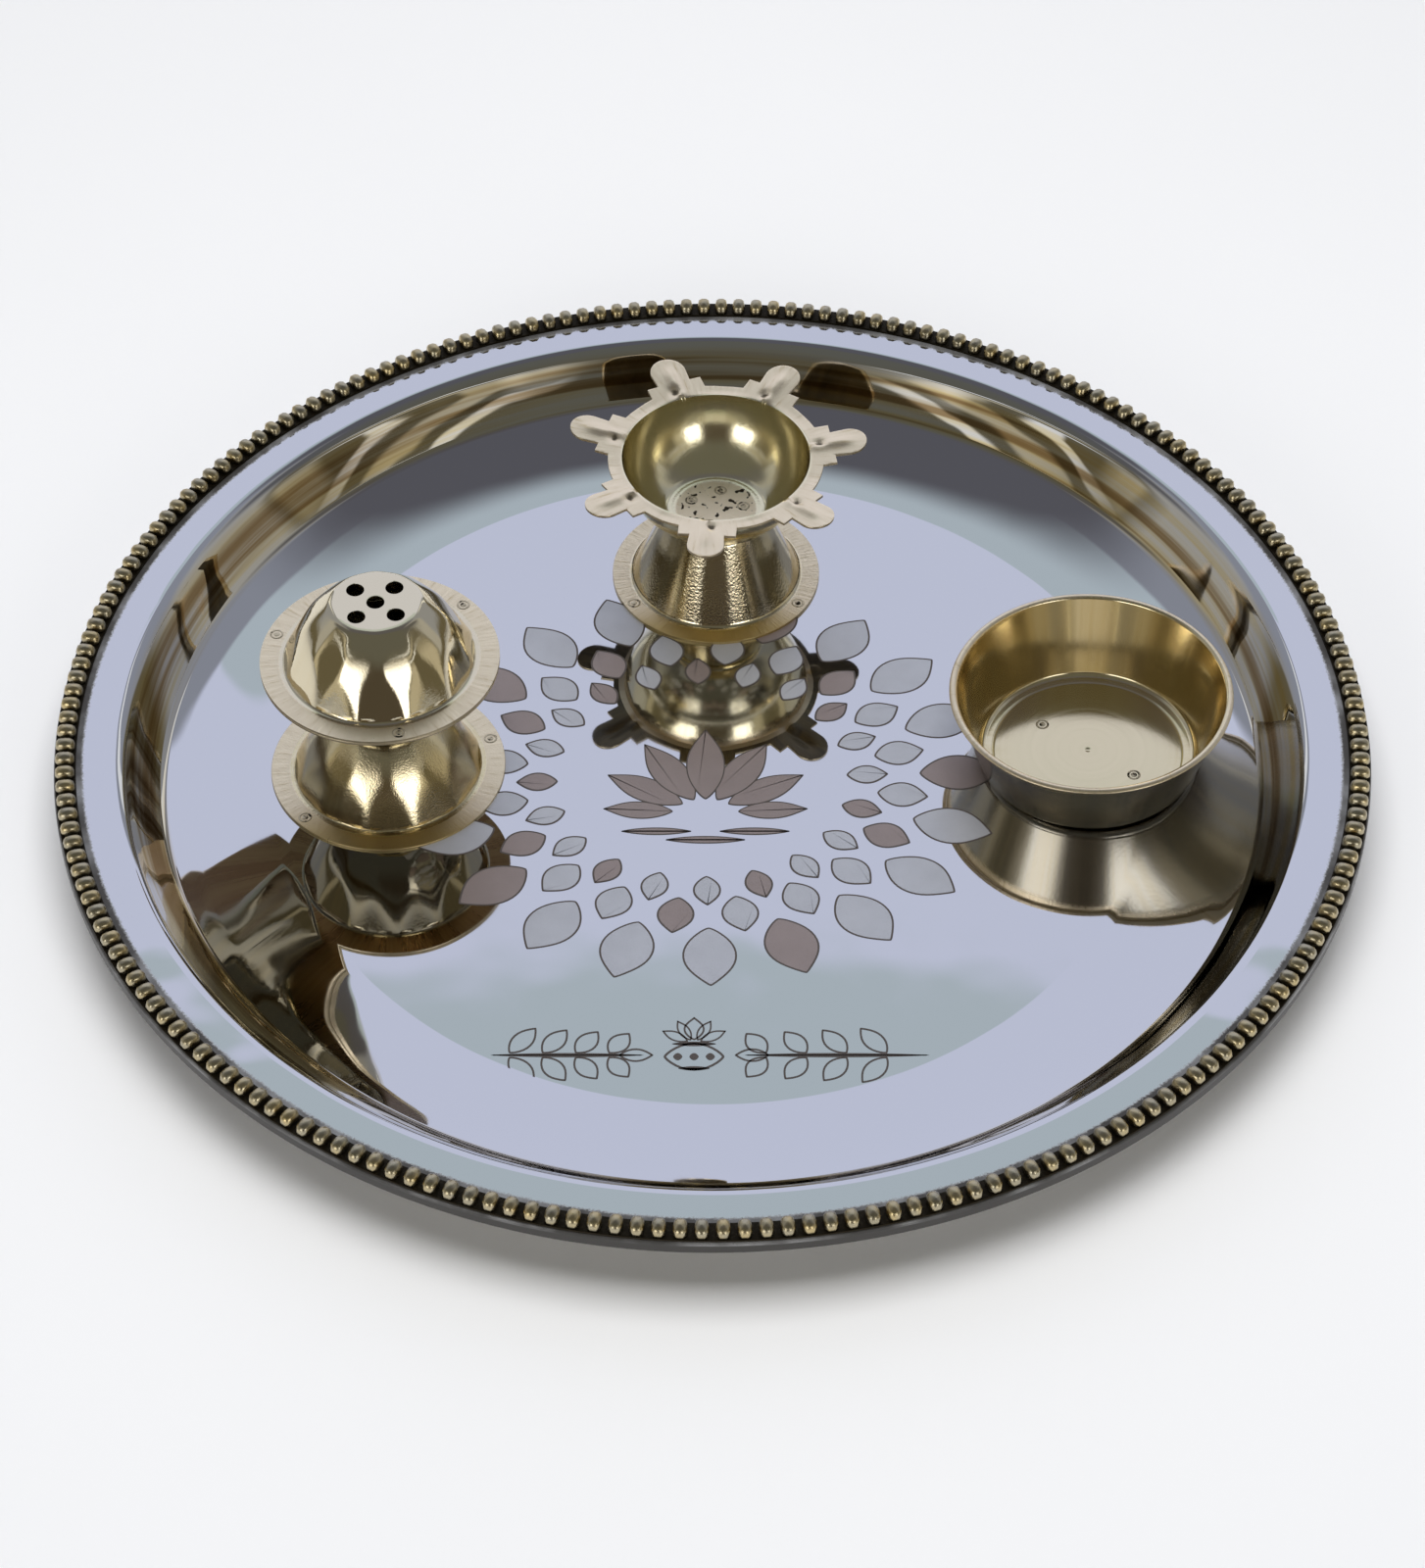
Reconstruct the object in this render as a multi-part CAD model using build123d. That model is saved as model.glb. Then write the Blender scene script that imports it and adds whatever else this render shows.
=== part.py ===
from build123d import *
import math
import os

# Plate: one round sheet with a flat floor, a wall that curves up from it, a flat brim and a hem
plate_diameter = 280.0
plate_sheet = 0.8
tray_depth = 15.4
brim_width = 13.6
wall_run = 19.4
wall_first_slope = 6.0
wall_steps = 6
hem_depth = 2.0

# Beaded strip that lies on the brim
strip_width = 4.4
strip_sheet = 0.5
strip_setback = 0.3
bead_length = 4.2
bead_height = 2.4
bead_pitch = 4.12
bead_sides = 6
bead_draft = 21.0

# Cup
cup_mouth_diameter = 60.8
cup_lip_width = 1.7
cup_foot_diameter = 47.6
cup_height = 18.8
cup_sheet = 0.7
cup_setback = 1.5
cup_bearing = 4.0
cup_weld_radius = 12.3
cup_weld_bearings = (-40.0, 140.0)

# Faceted dome pressing, used three times in the incense holder
dome_width = 40.6
dome_flange_width = 5.0
dome_height = 16.3
dome_sheet = 0.6
dome_facets = 12
lower_facet_slope = 66.0
upper_facet_slope = 50.0
crown_width = 19.0
incense_hole_diameter = 3.8
incense_hole_spacing = 8.2
incense_setback = 11.5
incense_bearing = 178.5
base_weld_bearings = (20.0, 121.0, 223.0)
flange_weld_bearings = (43.0, 163.0, 283.0)

# Diya: a flared bell that carries a bowl with a petal flange
bell_flange_diameter = 46.8
bell_foot_diameter = 36.4
bell_top_diameter = 22.0
bell_height = 19.0
bell_sheet = 0.7
bowl_floor_diameter = 20.6
bowl_mouth_diameter = 42.6
bowl_depth = 15.6
bowl_sheet = 0.6
bowl_first_slope = 25.0
bowl_steps = 5
petal_count = 7
petal_reach = 12.4
petal_lift = 1.6
petal_ring_width = 2.6
petal_finger_width = 8.0
petal_shoulder_width = 14.8
petal_step = 2.2
petal_first_bearing = 8.4
diya_setback = 20.4
diya_bearing = 89.3
bell_weld_bearings = (90.0, 210.0, 330.0)
bowl_weld_count = 5
bowl_weld_radius = 6.2

# Spot welds: a nugget through the upper sheet and part of the way into the lower one
weld_diameter = 3.0
weld_sides = 8
weld_depth_share = 0.5
weld_edge = 0.6
overrun = 5.0

# Sizes and places that follow
plate_radius = plate_diameter / 2
edge_radius = plate_radius - plate_sheet
mouth_radius = plate_radius - brim_width
floor_radius = mouth_radius - wall_run
floor_top = plate_sheet
brim_top = plate_sheet + tray_depth
cup_foot_radius = cup_foot_diameter / 2
dome_flange_radius = dome_width / 2 + dome_flange_width
dome_weld_radius = dome_flange_radius - weld_diameter / 2 - weld_edge
bell_flange_radius = bell_flange_diameter / 2
bell_weld_radius = bell_flange_radius - weld_diameter / 2 - weld_edge


def place(setback, foot_radius, bearing):
    """Point on the plate's floor, set back from the floor's edge by a foot and a gap."""
    reach = floor_radius - foot_radius - setback
    turn = math.radians(bearing)
    return reach * math.cos(turn), reach * math.sin(turn)


cup_place = place(cup_setback, cup_foot_radius, cup_bearing)
incense_place = place(incense_setback, dome_flange_radius, incense_bearing)
diya_place = place(diya_setback, bell_flange_radius, diya_bearing)


def standing(spot, height):
    """Location over a point of the floor."""
    return Pos(spot[0], spot[1], height)


def ring_points(radius, bearings):
    """Points on a circle at the given bearings."""
    turns = [math.radians(bearing) for bearing in bearings]
    return [(radius * math.cos(turn), radius * math.sin(turn)) for turn in turns]


def even_bearings(count, first):
    """Bearings of an even ring."""
    return [first + 360.0 * index / count for index in range(count)]


def curved_run(start, end, first_slope, steps):
    """Corners, in equal turns, of an arc that leaves one point at a slope and ends at another."""
    first = math.radians(first_slope)
    swing = 2 * (math.atan2(end[1] - start[1], end[0] - start[0]) - first)
    radius = math.dist(start, end) / (2 * math.sin(swing / 2))
    corners = []
    for step in range(1, steps + 1):
        turn = first + swing * step / steps
        run = radius * (math.sin(turn) - math.sin(first))
        rise = radius * (math.cos(first) - math.cos(turn))
        corners.append((start[0] + run, start[1] + rise))
    return corners


def sheet_section(path, sheet):
    """Section of a sheet whose underside follows a path from the axis outwards."""
    points = [Vector(*point) for point in path]
    runs = [(after - before).normalized() for before, after in zip(points, points[1:])]
    sides = [Vector(-run.Y, run.X) for run in runs]
    upper = [points[0] + sides[0] * sheet]
    for point, before, after in zip(points[1:], sides, sides[1:]):
        upper.append(point + (before + after) * (sheet / (1 + before.dot(after))))
    upper.append(points[-1] + sides[-1] * sheet)
    return make_face(Polyline(*points, *reversed(upper), close=True))


def turned(section):
    """Solid of revolution from a section drawn as radius and height."""
    return revolve(Plane.XZ * section, Axis.Z)


def nuggets(points, sheet, lower_sheet):
    """Weld nuggets that end flush with a sheet's top face at height zero."""
    depth = sheet + lower_sheet * weld_depth_share
    weld = Pos(0, 0, -depth) * extrude(RegularPolygon(weld_diameter / 2, weld_sides), depth)
    return [Pos(x, y) * weld for x, y in points]


def sockets(points, top, depth):
    """Round holes for nuggets, from above a top face down to a depth below it."""
    hole = extrude(RegularPolygon(weld_diameter / 2, weld_sides), depth + weld_diameter)
    hole = Pos(0, 0, top - depth) * hole
    return [Pos(x, y) * hole for x, y in points]


def write(name, shapes):
    """One STEP file for each named piece."""
    solids = shapes if isinstance(shapes, list) else [shapes]
    model = solids[0] if len(solids) == 1 else Compound(children=solids)
    export_step(model, f"parts/{name}.step")


def welds_at(name, spot, height, points, sheet, lower_sheet):
    """Weld group that ends flush with a face at a height over a point of the floor."""
    write(name, [standing(spot, height) * weld for weld in nuggets(points, sheet, lower_sheet)])


cup_welds = ring_points(cup_weld_radius, cup_weld_bearings)
base_welds = ring_points(dome_weld_radius, base_weld_bearings)
flange_welds = ring_points(dome_weld_radius, flange_weld_bearings)
bell_welds = ring_points(bell_weld_radius, bell_weld_bearings)
bowl_welds = ring_points(bowl_weld_radius, even_bearings(bowl_weld_count, petal_first_bearing))


def thali_plate():
    floor_edge = (floor_radius, 0)
    wall = curved_run(floor_edge, (mouth_radius, tray_depth), wall_first_slope, wall_steps)
    brim = [(edge_radius, tray_depth), (edge_radius, tray_depth - hem_depth)]
    plate = turned(sheet_section([(0, 0), floor_edge, *wall, *brim], plate_sheet))
    pocket = plate_sheet * weld_depth_share
    for spot, welds in ((cup_place, cup_welds), (incense_place, base_welds), (diya_place, bell_welds)):
        plate -= [standing(spot, 0) * hole for hole in sockets(welds, floor_top, pocket)]
    return plate


def beaded_rim():
    outer = plate_radius - strip_setback
    inner = outer - strip_width
    strip = extrude(Circle(outer) - Circle(inner), strip_sheet)
    middle = (outer + inner) / 2
    count = round(2 * math.pi * middle / bead_pitch)
    bead = extrude(RegularPolygon(bead_length / 2, bead_sides), bead_height, taper=bead_draft)
    row = [Pos(0, 0, strip_sheet) * location * bead for location in PolarLocations(middle, count)]
    return Pos(0, 0, brim_top) * strip.fuse(*row, glue=True)


def cup():
    lip_start = cup_mouth_diameter / 2 - cup_lip_width
    lip_height = cup_height - cup_sheet
    path = [(0, 0), (cup_foot_radius, 0), (lip_start, lip_height), (cup_mouth_diameter / 2, lip_height)]
    shell = turned(sheet_section(path, cup_sheet))
    return shell - sockets(cup_welds, cup_sheet, cup_sheet + overrun)


def facet_row(flat_radius, level, slope, turn, low, top):
    """Solid from low to top with one row of facets, flat_radius from the axis at a level."""
    run = 1 / math.tan(math.radians(slope))
    corner = 1 / math.cos(math.pi / dome_facets)
    foot = RegularPolygon((flat_radius + (level - low) * run) * corner, dome_facets)
    return Pos(0, 0, low) * Rot(0, 0, turn) * extrude(foot, top - low, taper=90.0 - slope)


def dome_core(inset, low):
    """Faceted dome drawn in by an inset on every face, from a low level up to its crown."""
    top = dome_height - inset
    half_step = 180.0 / dome_facets
    lower_flat = dome_width / 2 - inset / math.sin(math.radians(lower_facet_slope))
    upper_flat = crown_width / 2 - inset / math.sin(math.radians(upper_facet_slope))
    lower_row = facet_row(lower_flat, 0, lower_facet_slope, half_step, low, top)
    upper_row = facet_row(upper_flat, dome_height, upper_facet_slope, 0, low, top)
    return lower_row & upper_row


def dome_pressing():
    """Hollow dome with its flange down at height zero."""
    flange = extrude(Circle(dome_flange_radius), dome_sheet)
    return dome_core(0, 0) + flange - dome_core(dome_sheet, -overrun)


def incense_base_dome():
    crown_pocket = sockets([(0, 0)], dome_height, dome_sheet * weld_depth_share)
    return dome_pressing() - sockets(base_welds, dome_sheet, dome_sheet + overrun) - crown_pocket


def incense_bowl():
    """The pressing turned over, crown down at height zero."""
    bowl = Pos(0, 0, dome_height) * Rot(180, 0, 0) * dome_pressing()
    crown_hole = sockets([(0, 0)], dome_sheet, dome_sheet + overrun)
    return bowl - sockets(flange_welds, dome_height, dome_sheet * weld_depth_share) - crown_hole


def incense_top_dome():
    return dome_pressing() - sockets(flange_welds, dome_sheet, dome_sheet + overrun) - crown_holes()


def crown_holes():
    hole = Pos(0, 0, dome_height - overrun) * extrude(Circle(incense_hole_diameter / 2), overrun * 2)
    half = incense_hole_spacing / 2
    spots = [(0, 0), (half, half), (-half, half), (half, -half), (-half, -half)]
    return [Pos(x, y) * hole for x, y in spots]


def diya_base():
    under_top = bell_height - bell_sheet
    path = [
        (0, under_top),
        (bell_top_diameter / 2, under_top),
        (bell_foot_diameter / 2, 0),
        (bell_flange_radius, 0),
    ]
    shell = turned(sheet_section(path, bell_sheet))
    flange_holes = sockets(bell_welds, bell_sheet, bell_sheet + overrun)
    top_holes = sockets(bowl_welds, bell_height, bell_sheet * weld_depth_share)
    return shell - flange_holes - top_holes


def petal_outline():
    """Ring with seven fingers, each between two stepped shoulders."""
    ring = bowl_mouth_diameter / 2 + petal_ring_width
    tip = bowl_mouth_diameter / 2 + petal_reach
    finger_round = petal_finger_width / 2
    finger = Pos(ring, 0) * SlotCenterToCenter((tip - ring - finger_round) * 2, petal_finger_width)
    middle_width = (petal_finger_width + petal_shoulder_width) / 2
    shoulder = Pos(ring, 0) * Rectangle(petal_step, petal_shoulder_width)
    step = Pos(ring, 0) * Rectangle(petal_step * 2, middle_width)
    petal = finger + shoulder + step
    outline = Circle(ring)
    for bearing in even_bearings(petal_count, petal_first_bearing):
        outline += Rot(0, 0, bearing) * petal
    return outline


def diya_bowl():
    mouth = bowl_mouth_diameter / 2
    floor_edge = (bowl_floor_diameter / 2, 0)
    side = curved_run(floor_edge, (mouth, bowl_depth), bowl_first_slope, bowl_steps)
    petal_edge = (mouth + petal_reach + overrun, bowl_depth + petal_lift)
    shell = turned(sheet_section([(0, 0), floor_edge, *side, petal_edge], bowl_sheet))
    cutter = Pos(0, 0, -overrun) * extrude(petal_outline(), bowl_depth + petal_lift + overrun * 2)
    return (shell & cutter) - sockets(bowl_welds, bowl_sheet, bowl_sheet + overrun)


os.makedirs("parts", exist_ok=True)

base_flange_top = floor_top + dome_sheet
waist = floor_top + dome_height
upper_flange = waist + dome_height
flange_top = upper_flange + dome_sheet
bowl_seat = floor_top + bell_height

write("thali_plate", thali_plate())
write("beaded_rim", beaded_rim())
write("cup", standing(cup_place, floor_top) * cup())
write("incense_base_dome", standing(incense_place, floor_top) * incense_base_dome())
write("incense_bowl", standing(incense_place, waist) * incense_bowl())
write("incense_top_dome", standing(incense_place, upper_flange) * incense_top_dome())
write("diya_base", standing(diya_place, floor_top) * diya_base())
write("diya_bowl", standing(diya_place, bowl_seat) * diya_bowl())
welds_at("cup_spot_welds", cup_place, floor_top + cup_sheet, cup_welds, cup_sheet, plate_sheet)
welds_at("incense_base_spot_welds", incense_place, base_flange_top, base_welds, dome_sheet, plate_sheet)
welds_at("incense_waist_weld", incense_place, waist + dome_sheet, [(0, 0)], dome_sheet, dome_sheet)
welds_at("incense_flange_spot_welds", incense_place, flange_top, flange_welds, dome_sheet, dome_sheet)
welds_at("diya_base_spot_welds", diya_place, floor_top + bell_sheet, bell_welds, bell_sheet, plate_sheet)
welds_at("diya_bowl_spot_welds", diya_place, bowl_seat + bowl_sheet, bowl_welds, bowl_sheet, bell_sheet)
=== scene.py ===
import math

import bmesh
import bpy
from bpy.props import FloatProperty, FloatVectorProperty, IntProperty, PointerProperty
from bpy.types import NodeSocket, Operator, Panel, PropertyGroup
from mathutils import Matrix, Vector


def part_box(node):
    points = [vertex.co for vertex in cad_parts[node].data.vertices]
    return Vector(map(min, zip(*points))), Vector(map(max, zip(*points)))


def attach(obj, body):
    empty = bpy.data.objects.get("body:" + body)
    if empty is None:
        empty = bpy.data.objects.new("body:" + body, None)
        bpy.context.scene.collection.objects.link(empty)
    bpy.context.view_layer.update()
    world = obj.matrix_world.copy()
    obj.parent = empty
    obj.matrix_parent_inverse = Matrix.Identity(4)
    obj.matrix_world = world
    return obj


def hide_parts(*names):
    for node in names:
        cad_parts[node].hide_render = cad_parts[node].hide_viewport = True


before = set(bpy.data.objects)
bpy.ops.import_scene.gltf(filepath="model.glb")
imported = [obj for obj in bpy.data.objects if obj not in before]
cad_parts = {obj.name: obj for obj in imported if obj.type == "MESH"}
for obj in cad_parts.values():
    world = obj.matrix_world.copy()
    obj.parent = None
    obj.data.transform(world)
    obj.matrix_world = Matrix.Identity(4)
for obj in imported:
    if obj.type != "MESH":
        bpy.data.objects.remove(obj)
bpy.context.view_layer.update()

bl_info = {
    "name": "Puja Thali",
    "version": (1, 0, 0),
    "blender": (4, 5, 0),
    "location": "3D View > Sidebar > Thali",
    "description": "Models a round steel tray with an etched floor, a beaded rim and three brass fittings",
    "category": "Object",
}

MM = 0.001
NEAR = 0.02 * MM
PLATE_SIDES = 288
FITTING_SIDES = 128
ETCH_SINK = 0.02 * MM
ETCH_RISE = 0.06 * MM
FLOOR_WIDTH = 40.0
DIMPLE_ASIDE = 0.8
DIMPLE_BEFORE = 0.6

PLATE_LOW, PLATE_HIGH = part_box("thali_plate")
CUP_LOW, CUP_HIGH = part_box("cup")
DOME_LOW, DOME_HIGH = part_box("incense_base_dome")
BELL_LOW, BELL_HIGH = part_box("diya_base")
BOWL_LOW, BOWL_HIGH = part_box("diya_bowl")
RIM_LOW, RIM_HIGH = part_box("beaded_rim")

CUP_SPOT = (CUP_LOW + CUP_HIGH).to_2d() / 2
DOME_SPOT = (DOME_LOW + DOME_HIGH).to_2d() / 2
BELL_SPOT = (BELL_LOW + BELL_HIGH).to_2d() / 2
PLATE_SPOT = Vector((0.0, 0.0))


def length(name, description, millimetres):
    """A size that a user may change, given here in millimetres."""
    size = millimetres * MM
    return FloatProperty(name=name, description=description, default=size, min=0.0, unit="LENGTH")


def turn(name, description, degrees):
    """An angle that a user may change, given here in degrees."""
    angle = math.radians(degrees)
    return FloatProperty(name=name, description=description, default=angle, subtype="ANGLE")


def tint(name, description, red, green, blue):
    """A colour that a user may change."""
    colour = (red, green, blue, 1.0)
    return FloatVectorProperty(name=name, description=description, default=colour, size=4, subtype="COLOR")


class ThaliPlateSizes(PropertyGroup):
    """Sizes of the steel plate and its beaded rim."""

    sheet: length("Sheet", "Thickness of the steel sheet", 0.8)
    brim_width: length("Brim width", "Width of the flat brim", 13.6)
    flat_radius: length("Flat radius", "Radius of the flat part of the floor", 92.5)
    dish_radius: length("Dish radius", "Radius where the dished ring turns into the wall", 117.0)
    kink_slope: turn("Kink", "Slope of the dished ring where it leaves the flat floor", 3.0)
    dish_slope: turn("Dish slope", "Slope of the dished ring where the wall begins", 20.0)
    wall_slope: turn("Wall slope", "Slope of the wall above its bend", 47.0)
    wall_bend: length("Wall bend", "Radius of the bend between dished ring and wall", 4.0)
    lip_round: length("Lip round", "Rounding between wall and brim", 1.9)
    hem_depth: length("Hem depth", "Depth of the turned-down edge", 2.8)
    hem_round: length("Hem round", "Rounding between brim and edge", 0.7)
    strip_width: length("Strip width", "Width of the strip that carries the beads", 4.4)
    strip_height: length("Strip height", "Thickness of the strip that carries the beads", 0.5)
    bead_length: length("Bead length", "Size of a bead across the rim", 4.2)
    bead_width: length("Bead width", "Size of a bead along the rim", 3.0)
    bead_sink: length("Bead sink", "How far a bead is sunk below the top of the brim", 0.4)
    bead_count: IntProperty(name="Beads", description="Number of beads round the rim", default=210, min=12)


class ThaliFittingSizes(PropertyGroup):
    """Sizes of the cup, the incense holder and the oil lamp."""

    cup_sheet: length("Cup sheet", "Thickness of the cup's sheet", 0.7)
    cup_floor: length("Cup floor", "Radius of the cup's floor inside", 23.1)
    cup_lip: length("Cup lip", "Width of the cup's flat lip", 1.7)
    cup_lean: turn("Cup lean", "Lean of the cup on the dished floor", 1.45)
    cup_groove: length("Cup groove", "Radius of the groove in the cup's floor", 20.6)
    dome_sheet: length("Dome sheet", "Thickness of the dome pressings", 0.6)
    dome_width: length("Dome width", "Width of a dome across its lower facets", 40.6)
    crown_width: length("Crown width", "Width of a dome's crown across its flats", 19.0)
    lower_slope: turn("Lower facets", "Slope of the lower row of facets", 66.0)
    upper_slope: turn("Upper facets", "Mean slope of the upper row of facets", 51.0)
    facet_bow: turn("Facet bow", "How far the slope of an upper facet changes to each side of its mean", 8.0)
    stick_hole: length("Stick hole", "Diameter of the holes for incense sticks", 3.8)
    stick_spacing: length("Stick spacing", "Spacing of the outer four holes", 8.2)
    bell_sheet: length("Bell sheet", "Thickness of the lamp's bell", 0.7)
    bell_top: length("Bell top", "Radius of the bell's top", 11.0)
    bell_foot: length("Bell foot", "Radius of the bell where it meets its flange", 18.9)
    bowl_sheet: length("Bowl sheet", "Thickness of the lamp's bowl", 0.6)
    bowl_floor: length("Bowl floor", "Radius of the bowl's floor inside", 10.7)
    bowl_mouth: length("Bowl mouth", "Radius of the bowl's mouth inside", 20.8)
    petal_ring: length("Petal ring", "Radius of the ring that joins the petals", 23.9)
    petal_tip: length("Petal tip", "Radius of the petal tips", 33.7)
    petal_finger: length("Petal finger", "Width of a petal's round finger", 8.0)
    petal_shoulder: length("Petal shoulder", "Width of a petal at its shoulders", 12.6)
    petal_step: length("Petal step", "Height of the step beside a finger", 2.2)
    petal_lift: length("Petal lift", "Rise of the petals from mouth to tip", 1.15)
    first_petal: turn("First petal", "Bearing of the first petal", 8.4)
    petal_count: IntProperty(name="Petals", description="Number of petals on the bowl", default=7, min=3)


class ThaliColours(PropertyGroup):
    """Colours of the metals and of the etched floor."""

    steel: tint("Steel", "Mirror steel", 0.62, 0.62, 0.63)
    # Painted reflection: gold for the streaks round the steel wall
    wall: tint("Wall", "Warm streaks round the wall", 0.60, 0.50, 0.29)
    # Colour of the dark band beside the beads and on the plate's turned-down edge
    dark_marks: tint("Stain", "Soot and flux along the beads", 0.024, 0.021, 0.018)
    brass: tint("Brass", "Polished brass", 0.74, 0.66, 0.48)
    gold_brass: tint("Golden brass", "Yellower brass of the cup and the incense base", 0.75, 0.65, 0.43)
    # Painted shade: the cup's outside is the same brass as its inside, darkened
    cup_outside_shade: tint("Grey brass", "Dull brass outside the cup", 0.39, 0.365, 0.305)
    # Painted shade: the incense holder's downward-facing bowl is the same brass as its domes, darkened
    incense_bowl_shade: tint("Dark brass", "Dull brass of the incense holder's bowl", 0.36, 0.325, 0.235)
    bowl: tint("Bowl brass", "Olive brass inside the lamp's bowl", 0.82, 0.75, 0.52)
    pale_brass: tint("Pale brass", "Filed brass of flanges and petals", 0.92, 0.78, 0.55)
    # Painted reflection: gold where brass walls reflect brass and on the fronts of filed flanges; also a
    # random mottle on the beads and the colour of file marks
    gold: tint("Gold", "Warm brass in hollows", 0.64, 0.49, 0.22)
    bead: tint("Bead", "Worn brass of the beads", 0.43, 0.385, 0.275)
    # Painted shade under the lamp's petals
    petal_underside_shade: tint("Tarnish", "Dull brass under the petals", 0.16, 0.135, 0.10)
    # Painted shade under the incense holder's flanges, and painted dark reflections streaked round the steel
    # wall
    shade_and_reflection_brown: tint("Burnt brass", "Brown brass under flanges, and dark streaks on the wall", 0.20, 0.115, 0.05)
    # Patina with painted shade low between the beads; also the specks on welds and the dark marks in the
    # lamp's bowl
    patina: tint("Patina", "Dark patina between the beads", 0.035, 0.028, 0.018)
    weld: tint("Weld", "Heat-tinted weld metal", 0.70, 0.60, 0.42)
    etched_pale: tint("Etched pale", "Frosted petals", 0.56, 0.57, 0.61)
    etched_brown: tint("Etched brown", "Pinkish-brown petals", 0.345, 0.285, 0.27)
    etched_line: tint("Etched line", "Outlines", 0.13, 0.11, 0.098)
    floor: tint("Floor", "Studio floor", 0.90, 0.90, 0.905)


class ThaliStage(PropertyGroup):
    """Camera and light."""

    camera_height: turn("Camera elevation", "Angle of the view over the horizon", 45.958)
    camera_distance: length("Camera distance", "Distance of the camera from its target", 870.0)
    target_front: length("Target", "How far the target lies in front of the plate's middle", 18.356)
    lens: FloatProperty(
        name="Lens", description="Focal length for a 36 mm sensor", default=94.85, unit="CAMERA"
    )
    fill_size: length("Fill size", "Width of the overhead fill", 900.0)
    fill_height: length("Fill height", "Height of the overhead fill", 1200.0)
    fill_power: FloatProperty(
        name="Fill", description="Power of the overhead fill", default=11.5, unit="POWER"
    )
    soft_box: FloatProperty(
        name="Soft boxes", description="Brightness of the soft boxes", default=3.2, min=0.0
    )


# Modelling steps that several pieces share


def deselect():
    """Leaves edit mode with nothing selected."""
    if bpy.context.object and bpy.context.object.mode != "OBJECT":
        bpy.ops.object.mode_set(mode="OBJECT")
    bpy.ops.object.select_all(action="DESELECT")


def take(name):
    """Names the primitive just added, puts its place in its mesh and opens it for editing."""
    piece = bpy.context.object
    piece.name = piece.data.name = name
    bpy.ops.object.transform_apply(location=True, rotation=True, scale=True)
    bpy.ops.object.mode_set(mode="EDIT")
    bpy.ops.mesh.select_mode(type="EDGE")
    return piece


def choose(piece, kind, test):
    """Selects the vertices, edges or faces that pass a test."""
    bpy.ops.mesh.select_mode(type=kind)
    bpy.ops.mesh.select_all(action="DESELECT")
    form = bmesh.from_edit_mesh(piece.data)
    items = {"VERT": form.verts, "EDGE": form.edges, "FACE": form.faces}[kind]
    for item in items:
        item.select_set(test(item))
    form.select_flush_mode()
    bmesh.update_edit_mesh(piece.data)


def reach(spot, point):
    """Distance of a point from a vertical axis."""
    return math.hypot(point.x - spot.x, point.y - spot.y)


def bearing_of(spot, point):
    """Bearing of a point round a vertical axis."""
    return math.atan2(point.y - spot.y, point.x - spot.x)


def on_ring(spot, radius, height):
    """Test for the edges of one ring round an axis."""
    def test(edge):
        return all(
            abs(reach(spot, vert.co) - radius) < NEAR and abs(vert.co.z - height) < NEAR
            for vert in edge.verts
        )
    return test


def arc_points(start, end, slope, steps):
    """Points of the arc that leaves the first point at a slope and meets the second one."""
    swing = 2 * (math.atan2(end[1] - start[1], end[0] - start[0]) - slope)
    radius = math.dist(start, end) / (2 * math.sin(swing / 2))
    points = []
    for step in range(1, steps + 1):
        angle = slope + swing * step / steps
        run = radius * (math.sin(angle) - math.sin(slope))
        points.append((start[0] + run, start[1] + radius * (math.cos(slope) - math.cos(angle))))
    return points


def bend_points(start, corner, end, steps):
    """Points of the bend that rounds a corner between two points of a section."""
    points = []
    for step in range(1, steps + 1):
        part = step / steps
        shares = ((1 - part) ** 2, 2 * part * (1 - part), part**2)
        points.append(tuple(sum(s * p for s, p in zip(shares, axis)) for axis in zip(start, corner, end)))
    return points


def draw_rings(spot, rings):
    """Extrudes the selected ring of edges through the other rings of a section."""
    radius, height = rings[0]
    for next_radius, next_height in rings[1:]:
        bpy.ops.mesh.extrude_edges_move(TRANSFORM_OT_translate={"value": (0, 0, next_height - height)})
        grow = next_radius / radius
        centre = (spot.x, spot.y, next_height)
        bpy.ops.transform.resize(value=(grow, grow, 1), center_override=centre)
        radius, height = next_radius, next_height


def round_sheet(name, spot, rings, sides):
    """Round sheet drawn ring by ring from a flat disc at its middle."""
    deselect()
    radius, height = rings[0]
    place = (spot.x, spot.y, height)
    bpy.ops.mesh.primitive_circle_add(vertices=sides, radius=radius, fill_type="TRIFAN", location=place)
    piece = take(name)
    choose(piece, "EDGE", on_ring(spot, radius, height))
    draw_rings(spot, rings)
    return piece


def round_corner(piece, spot, ring, offset, segments):
    """Rounds the sheet along one of its rings."""
    choose(piece, "EDGE", on_ring(spot, *ring))
    bpy.ops.mesh.bevel(offset=offset, segments=segments, affect="EDGES")


def face_up(piece):
    """Merges doubles and turns a sheet's faces to its upper side."""
    bpy.ops.mesh.select_all(action="SELECT")
    bpy.ops.mesh.remove_doubles(threshold=NEAR / 10)
    bpy.ops.mesh.normals_make_consistent(inside=False)
    form = bmesh.from_edit_mesh(piece.data)
    if sum(face.normal.z * face.calc_area() for face in form.faces) < 0:
        bpy.ops.mesh.flip_normals()


def apply_all(piece):
    """Applies a piece's modifiers in order."""
    deselect()
    bpy.context.view_layer.objects.active = piece
    piece.select_set(True)
    for modifier in list(piece.modifiers):
        bpy.ops.object.modifier_apply(modifier=modifier.name)


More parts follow.
